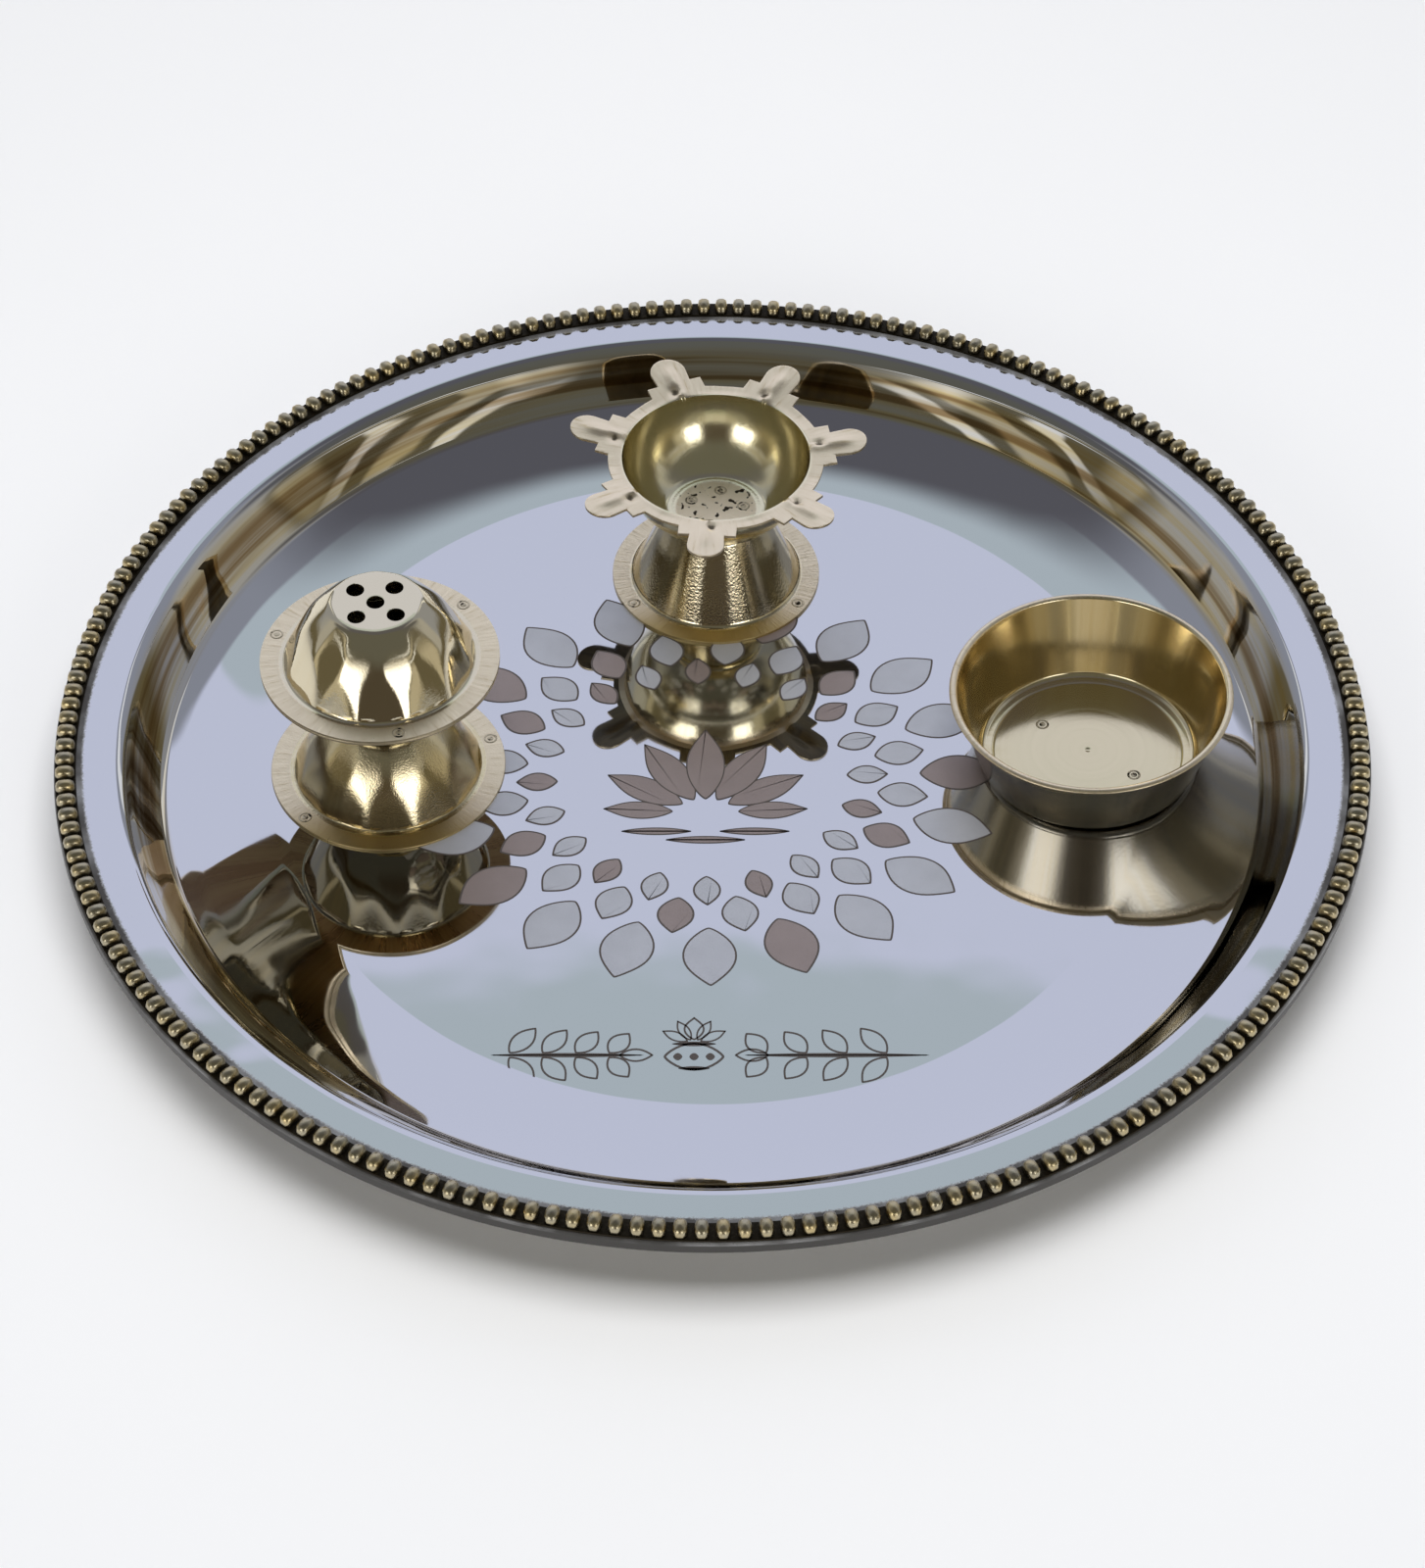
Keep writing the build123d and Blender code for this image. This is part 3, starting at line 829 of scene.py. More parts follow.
class THALI_OT_incense(Operator):
    """Press one faceted dome, copy it, and stack base, bowl and pierced top"""

    bl_idname = "thali.incense"
    bl_label = "Incense holder"

    facets = 12
    facet_columns = 14
    crispness = 70
    foot = ((0.0, 1.4), (0.5, 1.1), (1.2, 1.0))

    def facet_planes(self, sizes, height):
        """Outward normal and distance from the origin of the crown and of each facet."""
        planes = [(Vector((0.0, 0.0, 1.0)), height)]
        rows = [(0.0, sizes.dome_width / 2, 0.0, sizes.lower_slope)]
        flat, level = sizes.crown_width / 2, height
        for part in (-1, 0, 1):
            slope = sizes.upper_slope + part * sizes.facet_bow
            rows.append((0.5, flat, level, slope))
            flat += height / 5 / math.tan(slope)
            level -= height / 5
        for shift, flat, level, slope in rows:
            for index in range(self.facets):
                bearing = 2 * math.pi * (index + shift) / self.facets
                out = Vector((math.cos(bearing), math.sin(bearing), 0.0))
                normal = out * math.sin(slope) + Vector((0.0, 0.0, math.cos(slope)))
                planes.append((normal, normal.dot(out * flat + Vector((0.0, 0.0, level)))))
        return planes

    def pressing(self, sizes, height, flange):
        """One dome with its flange, standing at the origin."""
        sheet = sizes.dome_sheet
        planes = self.facet_planes(sizes, height)
        steps = 44
        lowest = math.atan(4 * sheet / sizes.dome_width)
        angles = [math.pi / 2 - (math.pi / 2 - lowest) * step / steps for step in range(1, steps + 1)]
        rings = [(math.cos(angle), math.sin(angle)) for angle in angles]
        piece = round_sheet("dome_pressing", PLATE_SPOT, rings, self.facets * self.facet_columns)
        form = bmesh.from_edit_mesh(piece.data)
        for vert in form.verts:
            way = vert.co.normalized()
            shares = [max(normal.dot(way), 0.0) / distance for normal, distance in planes]
            near = sum(share ** self.crispness for share in shares)
            vert.co = way * near ** (-1 / self.crispness)
        bmesh.update_edit_mesh(piece.data)
        choose(piece, "EDGE", lambda edge: edge.is_boundary)
        bpy.ops.mesh.extrude_edges_move(TRANSFORM_OT_translate={"value": (0, 0, 0)})
        bpy.ops.transform.resize(value=(1, 1, 0), center_override=(0, 0, self.foot[0][1] * sheet))
        bpy.ops.transform.tosphere(value=1.0)
        ring = [vert.co for vert in bmesh.from_edit_mesh(piece.data).verts if vert.select]
        wide = reach(PLATE_SPOT, ring[0])
        rings = [(wide + out * sheet, rise * sheet) for out, rise in self.foot] + [(flange, sheet)]
        draw_rings(PLATE_SPOT, rings)
        face_up(piece)
        thicken(piece, sheet)
        return piece

    def pierce(self, piece, sizes, height):
        """Five holes through the crown."""
        half = sizes.stick_spacing / 2
        pins = []
        for x, y in ((0, 0), (half, half), (-half, half), (half, -half), (-half, -half)):
            deselect()
            bpy.ops.mesh.primitive_cylinder_add(
                vertices=32, radius=sizes.stick_hole / 2, depth=height / 2, location=(x, y, height)
            )
            pins.append(take("stick_pin"))
        cut_with(piece, join(pins, "stick_pins"), "DIFFERENCE")

    def execute(self, context):
        sizes = context.scene.thali_fittings
        colours = context.scene.thali_colours
        height = DOME_HIGH.z - DOME_LOW.z
        flange = (DOME_HIGH.x - DOME_LOW.x) / 2
        base = self.pressing(sizes, height, flange)
        copies = {"incense_base_dome": base}
        for name in ("incense_bowl", "incense_top_dome"):
            copy = base.copy()
            copy.data = base.data.copy()
            context.scene.collection.objects.link(copy)
            copies[name] = copy
        self.pierce(copies["incense_top_dome"], sizes, height)
        filed = [(sizes.dome_width / 2 + 0.9 * MM, flange + 1.0 * MM)]
        finishes = {
            # Painted reflection: gold on the front of the base's flange, set by front
            "incense_base_dome": brass(
                "incense_brass", colours, DOME_SPOT, colours.gold_brass, filed,
                warm=0.25, polish=0.1, grain=1.0, front=0.9, tooth=2600.0,
            ),
            # Painted shade: the downward-facing bowl, darkened
            "incense_bowl": brass(
                "incense_bowl_brass", colours, DOME_SPOT, colours.incense_bowl_shade, filed,
                warm=0.2, polish=0.05, grain=0.2,
            ),
            "incense_top_dome": brass(
                "incense_top_brass", colours, DOME_SPOT, colours.brass, filed,
                warm=0.1, polish=0.04, grain=0.2,
            ),
        }
        edge = [(flange, flange + 1.0 * MM)]
        # Painted shade: dark brown under the flanges
        under = brass(
            "incense_underside", colours, DOME_SPOT, colours.shade_and_reflection_brown, edge, warm=0.2, polish=0.25
        )
        twists = {"incense_base_dome": 5.0, "incense_bowl": 18.0, "incense_top_dome": 5.0}
        for name, piece in copies.items():
            soften(piece, 0.1 * MM, 55.0, 45.0)
            low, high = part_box(name)
            piece.name = piece.data.name = name + "_brass"
            piece.location = (DOME_SPOT.x, DOME_SPOT.y, low.z)
            piece.rotation_euler.z = math.radians(twists[name])
            if name == "incense_bowl":
                piece.location.z = high.z
                piece.rotation_euler.x = math.pi
            bpy.ops.object.transform_apply(location=True, rotation=True, scale=True)
            deliver(piece, "polished_brass", [finishes[name], under], name)
            for polygon in piece.data.polygons:
                out = reach(DOME_SPOT, polygon.center)
                if polygon.normal.z < -0.8 and out > sizes.dome_width / 2 + 0.8 * MM:
                    polygon.material_index = 1
        return {"FINISHED"}


# Oil lamp


class THALI_OT_lamp_base(Operator):
    """Draw the flared bell that carries the lamp's bowl"""

    bl_idname = "thali.lamp_base"
    bl_label = "Lamp base"

    def execute(self, context):
        sizes = context.scene.thali_fittings
        flange_top = BELL_LOW.z + sizes.bell_sheet
        flange = (BELL_HIGH.x - BELL_LOW.x) / 2
        rings = [
            (sizes.bell_top * 0.5, BELL_HIGH.z),
            (sizes.bell_top, BELL_HIGH.z),
            (sizes.bell_foot, flange_top),
            (flange, flange_top),
        ]
        piece = round_sheet("lamp_base_brass", BELL_SPOT, rings, FITTING_SIDES)
        round_corner(piece, BELL_SPOT, (sizes.bell_foot, flange_top), 0.9 * MM, 4)
        round_corner(piece, BELL_SPOT, (sizes.bell_top, BELL_HIGH.z), 1.0 * MM, 4)
        face_up(piece)
        thicken(piece, sizes.bell_sheet)
        soften(piece, 0.12 * MM)
        colours = context.scene.thali_colours
        filed = [(sizes.bell_foot + 0.6 * MM, flange + 1.0 * MM)]
        # Painted reflection: gold on the front of the flange, set by front
        finish = brass(
            "lamp_base_brass", colours, BELL_SPOT, colours.brass, filed,
            warm=0.4, polish=0.05, grain=0.9, filing=6.0, front=1.0, tooth=1900.0,
        )
        deliver(piece, "polished_brass", [finish], "diya_base")
        return {"FINISHED"}


class THALI_OT_lamp_bowl(Operator):
    """Draw the lamp's bowl and cut its flange to a ring of petals"""

    bl_idname = "thali.lamp_bowl"
    bl_label = "Lamp bowl"

    petal_columns = 40

    def petal_points(self, sizes):
        """Outline of one petal along and across its axis, from the gap before it to the gap after it."""
        ring = sizes.petal_ring
        half = sizes.petal_finger / 2
        centre = sizes.petal_tip - half
        shoulder = sizes.petal_shoulder / 2
        ledge = ring + sizes.petal_step
        gap = math.pi / sizes.petal_count
        root = math.asin(shoulder / ring)
        side = [(ring * math.cos(gap), ring * math.sin(gap))]
        side += [(ring * math.cos((gap + root) / 2), ring * math.sin((gap + root) / 2))]
        side += [(ring * math.cos(root), shoulder), (ledge, shoulder), (ledge, half * 0.94), (centre, half)]
        steps = 8
        for step in range(1, steps):
            angle = math.pi / 2 * (1 - step / steps)
            side.append((centre + half * math.cos(angle), half * math.sin(angle)))
        mirrored = [(along, -across) for along, across in side[1:]]
        return side + [(sizes.petal_tip, 0.0)] + mirrored

    def petal_cutter(self, sizes, low, high):
        """Prism whose outline is the ring of petals."""
        points = self.petal_points(sizes)
        deselect()
        place = (BELL_SPOT.x, BELL_SPOT.y, low)
        sides = sizes.petal_count * len(points)
        bpy.ops.mesh.primitive_circle_add(vertices=sides, radius=1.0, fill_type="NGON", location=place)
        piece = take("petal_cutter")
        outline = []
        for index in range(sizes.petal_count):
            heading = sizes.first_petal + 2 * math.pi * index / sizes.petal_count
            spin = Matrix.Rotation(heading, 2)
            outline += [spin @ Vector(point) for point in points]
        outline.sort(key=lambda point: math.atan2(point.y, point.x))
        form = bmesh.from_edit_mesh(piece.data)
        ring = sorted(form.verts, key=lambda vert: bearing_of(BELL_SPOT, vert.co))
        for vert, point in zip(ring, outline):
            vert.co.xy = BELL_SPOT + point
        bmesh.update_edit_mesh(piece.data)
        bpy.ops.mesh.select_all(action="SELECT")
        bpy.ops.mesh.extrude_region_move(TRANSFORM_OT_translate={"value": (0, 0, high - low)})
        bpy.ops.mesh.select_all(action="SELECT")
        bpy.ops.mesh.normals_make_consistent(inside=False)
        return piece

    def crease_petals(self, piece, sizes):
        """Raises a vein along each petal and presses a dimple at its root."""
        step = 2 * math.pi / sizes.petal_count
        form = bmesh.from_edit_mesh(piece.data)
        for vert in form.verts:
            out = reach(BELL_SPOT, vert.co)
            if out < sizes.bowl_mouth + 0.5 * MM:
                continue
            bearing = bearing_of(BELL_SPOT, vert.co)
            offset = (bearing - sizes.first_petal + step / 2) % step - step / 2
            across = out * math.sin(offset) / MM
            along = (out - sizes.petal_ring) / MM
            fade = math.exp(-(max(along - 4.0, 0.0) / 2.5) ** 2)
            vein = 0.55 * math.exp(-(across / 1.3) ** 2) * fade
            aside = (across - DIMPLE_ASIDE) / 1.1
            before = (along + DIMPLE_BEFORE) / 1.2
            dimple = 0.9 * math.exp(-aside ** 2 - before ** 2)
            droop = 0.05 * max(abs(across) - 2.0, 0.0)
            vert.co.z += (vein - dimple - droop) * MM
        bmesh.update_edit_mesh(piece.data)

    def execute(self, context):
        sizes = context.scene.thali_fittings
        colours = context.scene.thali_colours
        floor = BOWL_LOW.z + sizes.bowl_sheet
        mouth = sizes.bowl_mouth
        tip = sizes.petal_tip
        rim = BOWL_HIGH.z - sizes.petal_lift
        groove = 0.25 * MM
        slope = math.radians(27.0)
        rings = [
            (3.5 * MM, floor),
            (8.3 * MM, floor),
            (9.0 * MM, floor + groove),
            (sizes.bowl_floor, floor + groove),
        ]
        rings += arc_points(rings[-1], (mouth, rim), slope, 14)
        flange_rings = 16
        wide = tip + 2.0 * MM
        for index in range(1, flange_rings + 1):
            part = index / flange_rings
            rise = sizes.petal_lift * part * (wide - mouth) / (tip - mouth)
            rings.append((mouth + (wide - mouth) * part, rim + rise))
        piece = round_sheet("lamp_bowl_brass", BELL_SPOT, rings, sizes.petal_count * self.petal_columns)
        self.crease_petals(piece, sizes)
        round_corner(piece, BELL_SPOT, (sizes.bowl_floor, floor + groove), 0.8 * MM, 3)
        face_up(piece)
        thicken(piece, sizes.bowl_sheet)
        margin = 5.0 * MM
        cutter = self.petal_cutter(sizes, BOWL_LOW.z - margin, BOWL_HIGH.z + margin)
        cut_with(piece, cutter, "INTERSECT")
        soften(piece, 0.08 * MM, 60.0)
        filed = [(mouth + 0.3 * MM, wide), (-1.0 * MM, 9.0 * MM)]
        finish = brass(
            "lamp_bowl_brass", colours, BELL_SPOT, colours.bowl, filed,
            warm=0.2, polish=0.13, grain=0.4, filing=0.6, dark_marks=petal_shade_and_specks(sizes),
        )
        edge = [(mouth, mouth + 0.5 * MM)]
        # Painted shade: dark brass under the petals
        under = brass(
            "petal_underside", colours, BELL_SPOT, colours.petal_underside_shade, edge, warm=0.2, polish=0.3
        )
        deliver(piece, "polished_brass", [finish, under], "diya_bowl")
        for polygon in piece.data.polygons:
            if polygon.normal.z < -0.3 and reach(BELL_SPOT, polygon.center) > sizes.petal_ring - 1.5 * MM:
                polygon.material_index = 1
        return {"FINISHED"}


# Spot welds


class THALI_OT_welds(Operator):
    """Set a ringed weld mark on every weld nugget"""

    bl_idname = "thali.welds"
    bl_label = "Spot welds"

    groups = ("cup_spot_welds", "incense_base_spot_welds", "incense_flange_spot_welds",
              "diya_base_spot_welds", "diya_bowl_spot_welds")

    def nuggets(self, node):
        """Top middle of each nugget of a solid node."""
        found = []
        gap = 4.0 * MM
        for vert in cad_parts[node].data.vertices:
            near = [group for group in found if (group[0] - vert.co).to_2d().length < gap]
            if near:
                near[0].append(vert.co)
            else:
                found.append([vert.co])
        for group in found:
            low = Vector(map(min, zip(*group)))
            high = Vector(map(max, zip(*group)))
            yield Vector(((low.x + high.x) / 2, (low.y + high.y) / 2, high.z))

    def mark(self):
        """Weld mark at the origin: a dot in a dent inside a raised ring."""
        dent = [(0.35, 0.06), (0.55, 0.05), (0.75, -0.02), (0.95, 0.0)]
        ring = [(1.15, 0.09), (1.4, 0.05), (1.55, -0.1)]
        rings = [(radius * MM, rise * MM) for radius, rise in dent + ring]
        piece = round_sheet("weld_mark", PLATE_SPOT, rings, 24)
        choose(piece, "EDGE", lambda edge: edge.is_boundary)
        bpy.ops.mesh.edge_face_add()
        bpy.ops.mesh.select_all(action="SELECT")
        bpy.ops.mesh.normals_make_consistent(inside=False)
        bpy.ops.object.mode_set(mode="OBJECT")
        bpy.ops.object.shade_smooth_by_angle(angle=math.radians(60))
        return piece

    def execute(self, context):
        finish = weld_metal(context.scene.thali_colours)
        first = self.mark()
        for node in self.groups:
            marks = []
            for middle in self.nuggets(node):
                piece = first.copy()
                piece.data = first.data.copy()
                context.scene.collection.objects.link(piece)
                piece.data.transform(Matrix.Translation(middle))
                marks.append(piece)
            require(marks, "no weld nuggets in " + node)
            piece = join(marks, node + "_marks")
            if node == "cup_spot_welds":
                lean_cup(piece, context.scene.thali_fittings)
            deliver(piece, "weld_metal", [finish], node)
        bpy.data.objects.remove(first)
        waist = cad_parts["incense_waist_weld"]
        waist.data.materials.clear()
        waist.data.materials.append(finish)
        return {"FINISHED"}


# Etched floor


def leaf(name, size, width, line, level, thick, ogee=0.35, sides=48):
    """One etched leaf that points along +X from the origin, with a border of a line's width."""
    deselect()
    bpy.ops.mesh.primitive_circle_add(vertices=sides, radius=1.0, fill_type="NGON", location=(0, 0, level))
    piece = take(name)
    for material in etchings(bpy.context.scene.thali_colours):
        piece.data.materials.append(material)
    form = bmesh.from_edit_mesh(piece.data)
    for vert in form.verts:
        bearing = math.atan2(vert.co.y, vert.co.x)
        part = (1 + math.cos(bearing)) / 2
        swell = math.sin(bearing) * (1 - ogee * part ** 5) / (1 + 0.25 * abs(math.cos(bearing)) ** 3)
        vert.co.x = size * part
        vert.co.y = width / 2 * swell * abs(math.sin(bearing)) ** 0.35
    bmesh.update_edit_mesh(piece.data)
    bpy.ops.mesh.select_mode(type="FACE")
    bpy.ops.mesh.select_all(action="SELECT")
    bpy.ops.mesh.inset(thickness=line, use_boundary=True, use_even_offset=False)
    form = bmesh.from_edit_mesh(piece.data)
    for face in form.faces:
        face.material_index = 1 if face.select else 0
    bmesh.update_edit_mesh(piece.data)
    bpy.ops.mesh.select_all(action="SELECT")
    bpy.ops.mesh.extrude_region_move(TRANSFORM_OT_translate={"value": (0, 0, thick)})
    bpy.ops.mesh.select_all(action="SELECT")
    bpy.ops.mesh.normals_make_consistent(inside=False)
    bpy.ops.object.mode_set(mode="OBJECT")
    return piece


def paint(piece, index):
    """Sets the material slot of the inside of an etched shape."""
    for polygon in piece.data.polygons:
        if polygon.material_index:
            polygon.material_index = index


def lay(piece, place, heading):
    """Turns a finished flat shape about the vertical and moves it to its place."""
    deselect()
    bpy.context.view_layer.objects.active = piece
    piece.select_set(True)
    piece.rotation_euler.z = heading
    piece.location = (place[0], place[1], 0.0)
    bpy.ops.object.transform_apply(location=True, rotation=True, scale=True)


class THALI_OT_petals(Operator):
    """Etch the three rings of leaf-shaped petals"""

    bl_idname = "thali.petals"
    bl_label = "Etched petals"

    count = 20
    middle = (-2.2 * MM, -1.7 * MM)
    squash = 0.925
    lean = math.radians(1.8)
    # Each ring: start, end and width of its petals in millimetres, shift in steps, and the brown ones
    rings = (
        (47.0, 64.5, 11.5, 0.0, {1, 5, 9, 13, 17}),
        (38.0, 49.0, 8.0, 0.5, {3, 7, 11, 13, 16, 19}),
        (31.2, 40.2, 6.0, 0.0, {1, 4, 7, 10, 12, 15, 18}),
    )

    def execute(self, context):
        floor = PLATE_LOW.z + context.scene.thali_plate.sheet
        step = 2 * math.pi / self.count
        leaves = []
        for level, (near, far, width, shift, brown) in enumerate(self.rings):
            low = floor - ETCH_SINK
            thick = (0.05 + 0.015 * level) * MM
            first = leaf("petal", (far - near) * MM, width * MM, 0.42 * MM, low, thick)
            for index in range(self.count):
                piece = first.copy()
                piece.data = first.data.copy()
                context.scene.collection.objects.link(piece)
                heading = -math.pi / 2 + step * (index + shift)
                lay(piece, (near * MM * math.cos(heading), near * MM * math.sin(heading)), heading)
                paint(piece, 2 if index in brown else 1)
                leaves.append(piece)
            bpy.data.objects.remove(first)
        piece = join(leaves, "etched_petals")
        piece.scale.y = self.squash
        bpy.ops.object.transform_apply(location=True, rotation=True, scale=True)
        lay(piece, self.middle, self.lean)
        deliver(piece, "mirror_steel", etchings(context.scene.thali_colours))
        return {"FINISHED"}


class THALI_OT_lotus(Operator):
    """Etch a lotus flower in the middle of the floor"""

    bl_idname = "thali.lotus"
    bl_label = "Etched lotus"

    root = (-1.5, -12.0)
    # Each petal: bearing in degrees, then distance from the root, size and width in millimetres
    petals = (
        (90, 4.0, 21.0, 8.6), (57, 4.5, 20.0, 8.0), (123, 4.5, 20.0, 8.0), (28, 5.5, 18.5, 7.0),
        (152, 5.5, 18.5, 7.0), (3, 7.0, 15.0, 5.2), (177, 7.0, 15.0, 5.2),
    )
    waves = ((-19.5, -17.5, 15.0, 2.2), (1.5, -17.5, 15.0, 2.2), (-10.0, -20.0, 17.0, 2.2))

    def execute(self, context):
        floor = PLATE_LOW.z + context.scene.thali_plate.sheet
        low = floor - ETCH_SINK
        pieces = []
        for order, (degrees, start, size, width) in enumerate(reversed(self.petals)):
            thick = (0.06 + 0.01 * order) * MM
            piece = leaf("lotus_petal", size * MM, width * MM, 0.3 * MM, low, thick, ogee=0.5)
            heading = math.radians(degrees)
            across = (self.root[0] + start * math.cos(heading)) * MM
            along = (self.root[1] + start * math.sin(heading)) * MM
            lay(piece, (across, along), heading)
            pieces.append(piece)
        for x, y, size, width in self.waves:
            piece = leaf("lotus_wave", size * MM, width * MM, 0.3 * MM, low, ETCH_RISE, ogee=0.0)
            lay(piece, (x * MM, y * MM), 0.0)
            pieces.append(piece)
        for piece in pieces:
            paint(piece, 2)
        deliver(join(pieces, "etched_lotus"), "mirror_steel", etchings(context.scene.thali_colours))
        return {"FINISHED"}


class THALI_OT_sprays(Operator):
    """Etch a pot with leaves between two leafy sprays near the front of the floor"""

    bl_idname = "thali.sprays"
    bl_label = "Etched pot and sprays"

    # Each stem: both ends in millimetres, and the way that it points
    stems = ((-45.0, -14.0, 1), (6.5, 44.0, -1))
    row = -80.0

    def outline(self, name, size, width, line, low, place, heading, ogee=0.3):
        """A leaf in outline alone."""
        piece = leaf(name, size * MM, width * MM, line * MM, low, ETCH_RISE, ogee, 28)
        bpy.ops.object.mode_set(mode="EDIT")
        choose(piece, "FACE", lambda face: face.material_index == 1)
        bpy.ops.mesh.delete(type="FACE")
        choose(piece, "EDGE", lambda edge: edge.is_boundary)
        bpy.ops.mesh.bridge_edge_loops()
        bpy.ops.mesh.select_all(action="SELECT")
        bpy.ops.mesh.normals_make_consistent(inside=False)
        bpy.ops.object.mode_set(mode="OBJECT")
        lay(piece, (place[0] * MM, place[1] * MM), heading)
        return piece

    def spray(self, start, end, way, low):
        """A stem with leaves in pairs."""
        stem = leaf("spray_stem", (end - start) * MM, 1.1 * MM, 0.2 * MM, low, ETCH_RISE, 0.0, 24)
        paint(stem, 0)
        lay(stem, (start * MM, self.row * MM), 0.0)
        pieces = [stem]
        pairs = 4
        for index in range(pairs):
            along = start + (end - start) * (index + 0.55) / (pairs + 0.6)
            for side in (1, -1):
                heading = math.radians(52 * side)
                if way < 0:
                    heading = math.pi - heading
                rank = index if way > 0 else pairs - 1 - index
                size = 8.6 - 0.6 * rank
                root = (along, self.row + 0.5 * side)
                pieces.append(self.outline("spray_leaf", size, 4.6, 0.42, low, root, heading))
        tip, heading = (end - 5.0, 0.0) if way > 0 else (start + 5.0, math.pi)
        pieces.append(self.outline("spray_tip", 7.0, 3.6, 0.42, low, (tip, self.row), heading))
        return pieces

    def pot(self, low):
        """A round pot on a foot, with a fan of leaves and a pointed fruit."""
        x, y = -3.75, -77.6
        pieces = [self.outline("pot_fruit", 6.2, 4.4, 0.4, low, (x, y + 1.6), math.radians(90), 0.6)]
        for degrees in (28, 62, 118, 152):
            heading = math.radians(degrees)
            root = (x + 1.4 * math.cos(heading), y + 1.0 + 0.6 * math.sin(heading))
            pieces.append(self.outline("pot_leaf", 6.0, 2.6, 0.35, low, root, heading, 0.5))
        for height, wide, tall in ((0.6, 9.0, 1.2), (-5.9, 6.4, 1.1)):
            bar = leaf("pot_band", wide * MM, tall * MM, 0.2 * MM, low, ETCH_RISE, 0.0, 24)
            paint(bar, 0)
            lay(bar, ((x - wide / 2) * MM, (y + height) * MM), 0.0)
            pieces.append(bar)
        pieces.append(self.outline("pot_body", 12.4, 7.4, 0.5, low, (x - 6.2, y - 2.8), 0.0, 0.0))
        for part in (-0.5, 0.0, 0.5):
            dot = leaf("pot_dot", 1.9 * MM, 1.9 * MM, 0.2 * MM, low, ETCH_RISE, 0.0, 16)
            paint(dot, 0)
            lay(dot, ((x + part * 6.6 - 0.95) * MM, (y - 2.8) * MM), 0.0)
            pieces.append(dot)
        return pieces

    def execute(self, context):
        floor = PLATE_LOW.z + context.scene.thali_plate.sheet
        low = floor - ETCH_SINK
        pieces = self.pot(low)
        for start, end, way in self.stems:
            pieces += self.spray(start, end, way, low)
        piece = join(pieces, "etched_pot_and_sprays")
        deliver(piece, "mirror_steel", etchings(context.scene.thali_colours))
        return {"FINISHED"}


# Stage


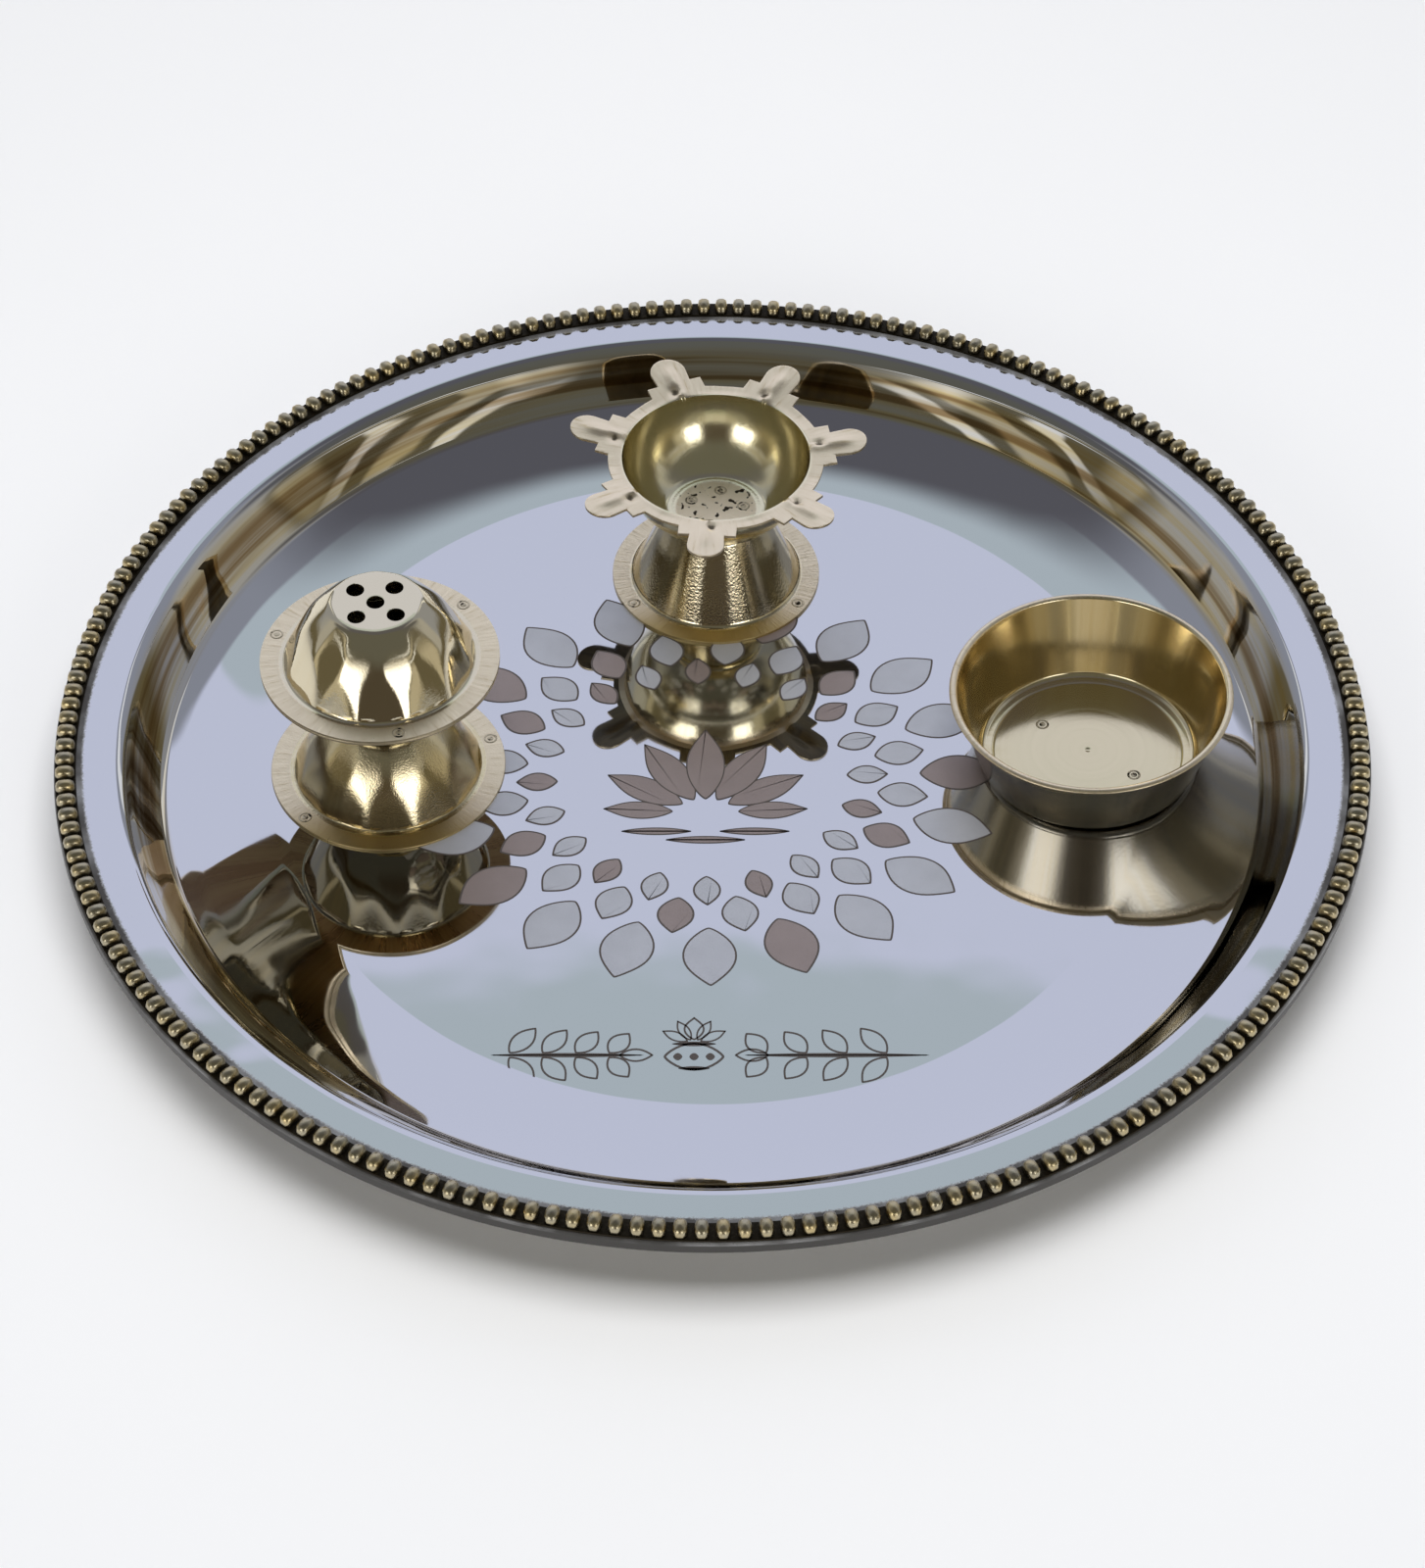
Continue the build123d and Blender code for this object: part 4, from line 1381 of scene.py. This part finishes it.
class THALI_OT_stage(Operator):
    """Set the pale floor, the studio light and the camera"""

    bl_idname = "thali.stage"
    bl_label = "Stage"

    def lay_floor(self, colours):
        """Wide pale floor under the plate."""
        deselect()
        bpy.ops.mesh.primitive_plane_add(size=FLOOR_WIDTH, location=(0, 0, PLATE_LOW.z))
        floor = take("studio_floor")
        bpy.ops.object.mode_set(mode="OBJECT")
        material, tree, shader, coords = new_material("studio_floor")
        shader.inputs["Metallic"].default_value = 0.0
        shader.inputs["Roughness"].default_value = 0.8
        grain = noise(tree, coords, 6.0)
        paler = [min(channel * 1.02, 1.0) for channel in colours.floor[:3]] + [1.0]
        tree.links.new(blend(tree, grain, colours.floor, paler), shader.inputs["Base Color"])
        floor.data.materials.append(material)

    def paint_world(self, context, stage):
        """Surroundings: a pale backdrop behind, and a dark room with soft boxes and light rails in front."""
        world = bpy.data.worlds.new("studio")
        context.scene.world = world
        world.use_nodes = True
        tree = world.node_tree
        ground = tree.nodes["Background"]
        way = tree.nodes.new("ShaderNodeTexCoord").outputs["Generated"]
        parts = put(tree, "SeparateXYZ", (way,)).outputs
        elevation = calc(tree, "MULTIPLY", calc(tree, "ARCSINE", parts["Z"]), 180 / math.pi)
        bearing = calc(tree, "MULTIPLY", calc(tree, "ARCTAN2", parts["X"], parts["Y"]), 180 / math.pi)
        turned = calc(tree, "ABSOLUTE", bearing)
        backdrop = (0.765, 0.81, 1.0, 1.0)
        band = (0.58, 0.67, 0.73, 1.0)
        ceiling = (0.13, 0.13, 0.15, 1.0)
        room = (0.09, 0.075, 0.055, 1.0)
        bronze = (0.15, 0.132, 0.085, 1.0)
        glow = (0.55, 0.51, 0.40, 1.0)
        side = (0.34, 0.36, 0.42, 1.0)
        flank = (0.46, 0.46, 0.45, 1.0)
        white = (0.95, 0.97, 1.0, 1.0)
        front = (0.14, 0.14, 0.12, 1.0)
        haze = (0.45, 0.45, 0.47, 1.0)
        soft = (stage.soft_box, stage.soft_box, stage.soft_box, 1.0)

        def panel(middle, half, edge):
            """Mask of an upright panel at a bearing."""
            off = calc(tree, "ABSOLUTE", calc(tree, "SUBTRACT", bearing, middle))
            return ramp(tree, off, half - edge, half + edge, 1.0, 0.0)

        def window(value, start, full, fade, end):
            """Mask that rises from start to full and falls from fade to end."""
            falling = ramp(tree, value, fade, end, 1.0, 0.0)
            return calc(tree, "MULTIPLY", ramp(tree, value, start, full), falling)

        back = blend(tree, ramp(tree, elevation, 47.9, 48.6), backdrop, band)
        gold_panels = None
        for middle, half in ((97.0, 4.0), (-97.0, 4.0), (131.0, 6.0), (-131.0, 6.0)):
            gold = panel(middle, half, 2.0)
            gold_panels = gold if gold_panels is None else calc(tree, "MAXIMUM", gold_panels, gold)
        gold_panels = calc(tree, "MULTIPLY", gold_panels, ramp(tree, elevation, 18.0, 34.0, 1.0, 0.0))
        warm = blend(tree, gold_panels, bronze, glow)
        above = ramp(tree, elevation, 4.0, 9.0)
        strip = window(turned, 33.0, 34.0, 38.0, 39.0)
        strip = calc(tree, "MULTIPLY", strip, ramp(tree, elevation, 40.0, 44.0, 1.0, 0.0))
        beside = blend(tree, above, bronze, blend(tree, strip, side, white))
        beside = blend(tree, ramp(tree, turned, 60.0, 70.0), beside, blend(tree, above, bronze, flank))
        beside = blend(tree, ramp(tree, turned, 88.0, 94.0), beside, warm)
        beside = blend(tree, ramp(tree, turned, 150.0, 158.0), beside, room)
        around = blend(tree, ramp(tree, turned, 27.0, 29.0), back, beside)
        over = blend(tree, ramp(tree, turned, 60.0, 120.0), ceiling, front)
        overhead = ramp(tree, elevation, 53.0, 62.0)
        low_over = calc(tree, "MULTIPLY", ramp(tree, elevation, 26.0, 44.0), ramp(tree, turned, 62.0, 80.0))
        cover = calc(tree, "MAXIMUM", overhead, low_over)
        studio = blend(tree, cover, around, over)
        aside = window(turned, 90.0, 115.0, 138.0, 154.0)
        for height, half, shine in ((37.0, 0.5, white), (33.4, 0.8, glow), (29.0, 0.6, white)):
            off = calc(tree, "ABSOLUTE", calc(tree, "SUBTRACT", elevation, height))
            rail = calc(tree, "MULTIPLY", ramp(tree, off, half, half * 2, 1.0, 0.0), aside)
            studio = blend(tree, rail, studio, shine)
        boxes = calc(tree, "MAXIMUM", panel(-145.0, 13.0, 3.0), panel(150.0, 10.0, 3.0))
        rise = window(elevation, 3.0, 7.0, 20.0, 38.0)
        lit = blend(tree, calc(tree, "MULTIPLY", boxes, rise), studio, soft)
        seen = tree.nodes.new("ShaderNodeLightPath").outputs["Is Camera Ray"]
        tree.links.new(blend(tree, seen, lit, haze), ground.inputs["Color"])

    def hang_light(self, stage):
        """Even fill from overhead."""
        light = bpy.data.lights.new("overhead_fill", "AREA")
        light.size = stage.fill_size
        light.energy = stage.fill_power
        lamp = bpy.data.objects.new("overhead_fill", light)
        bpy.context.scene.collection.objects.link(lamp)
        lamp.location.z = stage.fill_height
        lamp.visible_glossy = False
        lamp.visible_camera = False

    def set_camera(self, context, stage):
        """Camera at the photograph's angle."""
        data = bpy.data.cameras.new("camera")
        data.lens = stage.lens
        data.sensor_width = 36.0
        camera = bpy.data.objects.new("camera", data)
        context.scene.collection.objects.link(camera)
        back = Vector((0.0, -math.cos(stage.camera_height), math.sin(stage.camera_height)))
        target = Vector((0.0, -stage.target_front, PLATE_HIGH.z))
        camera.location = target + back * stage.camera_distance
        camera.rotation_euler = back.to_track_quat("Z", "Y").to_euler()
        context.scene.camera = camera

    def execute(self, context):
        stage = context.scene.thali_stage
        self.lay_floor(context.scene.thali_colours)
        self.paint_world(context, stage)
        self.hang_light(stage)
        self.set_camera(context, stage)
        context.scene.view_settings.view_transform = "Standard"
        return {"FINISHED"}


class THALI_PT_panel(Panel):
    """Lists the operators that build the thali"""

    bl_idname = "THALI_PT_panel"
    bl_label = "Puja Thali"
    bl_space_type = "VIEW_3D"
    bl_region_type = "UI"
    bl_category = "Thali"

    def draw(self, context):
        for operator in OPERATORS:
            self.layout.operator(operator.bl_idname)
        for group in GROUPS:
            box = self.layout.box()
            settings = getattr(context.scene, group)
            for name in settings.bl_rna.properties.keys():
                if name not in {"rna_type", "name"}:
                    box.prop(settings, name)


OPERATORS = (
    THALI_OT_plate, THALI_OT_beads, THALI_OT_cup, THALI_OT_incense, THALI_OT_lamp_base, THALI_OT_lamp_bowl,
    THALI_OT_welds, THALI_OT_petals, THALI_OT_lotus, THALI_OT_sprays, THALI_OT_stage,
)
GROUPS = {
    "thali_plate": ThaliPlateSizes,
    "thali_fittings": ThaliFittingSizes,
    "thali_colours": ThaliColours,
    "thali_stage": ThaliStage,
}


def register():
    for group in GROUPS.values():
        bpy.utils.register_class(group)
    for name, group in GROUPS.items():
        setattr(bpy.types.Scene, name, PointerProperty(type=group))
    for operator in OPERATORS:
        bpy.utils.register_class(operator)
    bpy.utils.register_class(THALI_PT_panel)


def unregister():
    bpy.utils.unregister_class(THALI_PT_panel)
    for operator in reversed(OPERATORS):
        bpy.utils.unregister_class(operator)
    for name in GROUPS:
        delattr(bpy.types.Scene, name)
    for group in reversed(GROUPS.values()):
        bpy.utils.unregister_class(group)


def main():
    register()
    bpy.ops.thali.plate()
    bpy.ops.thali.beads()
    bpy.ops.thali.cup()
    bpy.ops.thali.incense()
    bpy.ops.thali.lamp_base()
    bpy.ops.thali.lamp_bowl()
    bpy.ops.thali.welds()
    bpy.ops.thali.petals()
    bpy.ops.thali.lotus()
    bpy.ops.thali.sprays()
    bpy.ops.thali.stage()


if __name__ == "__main__":
    main()
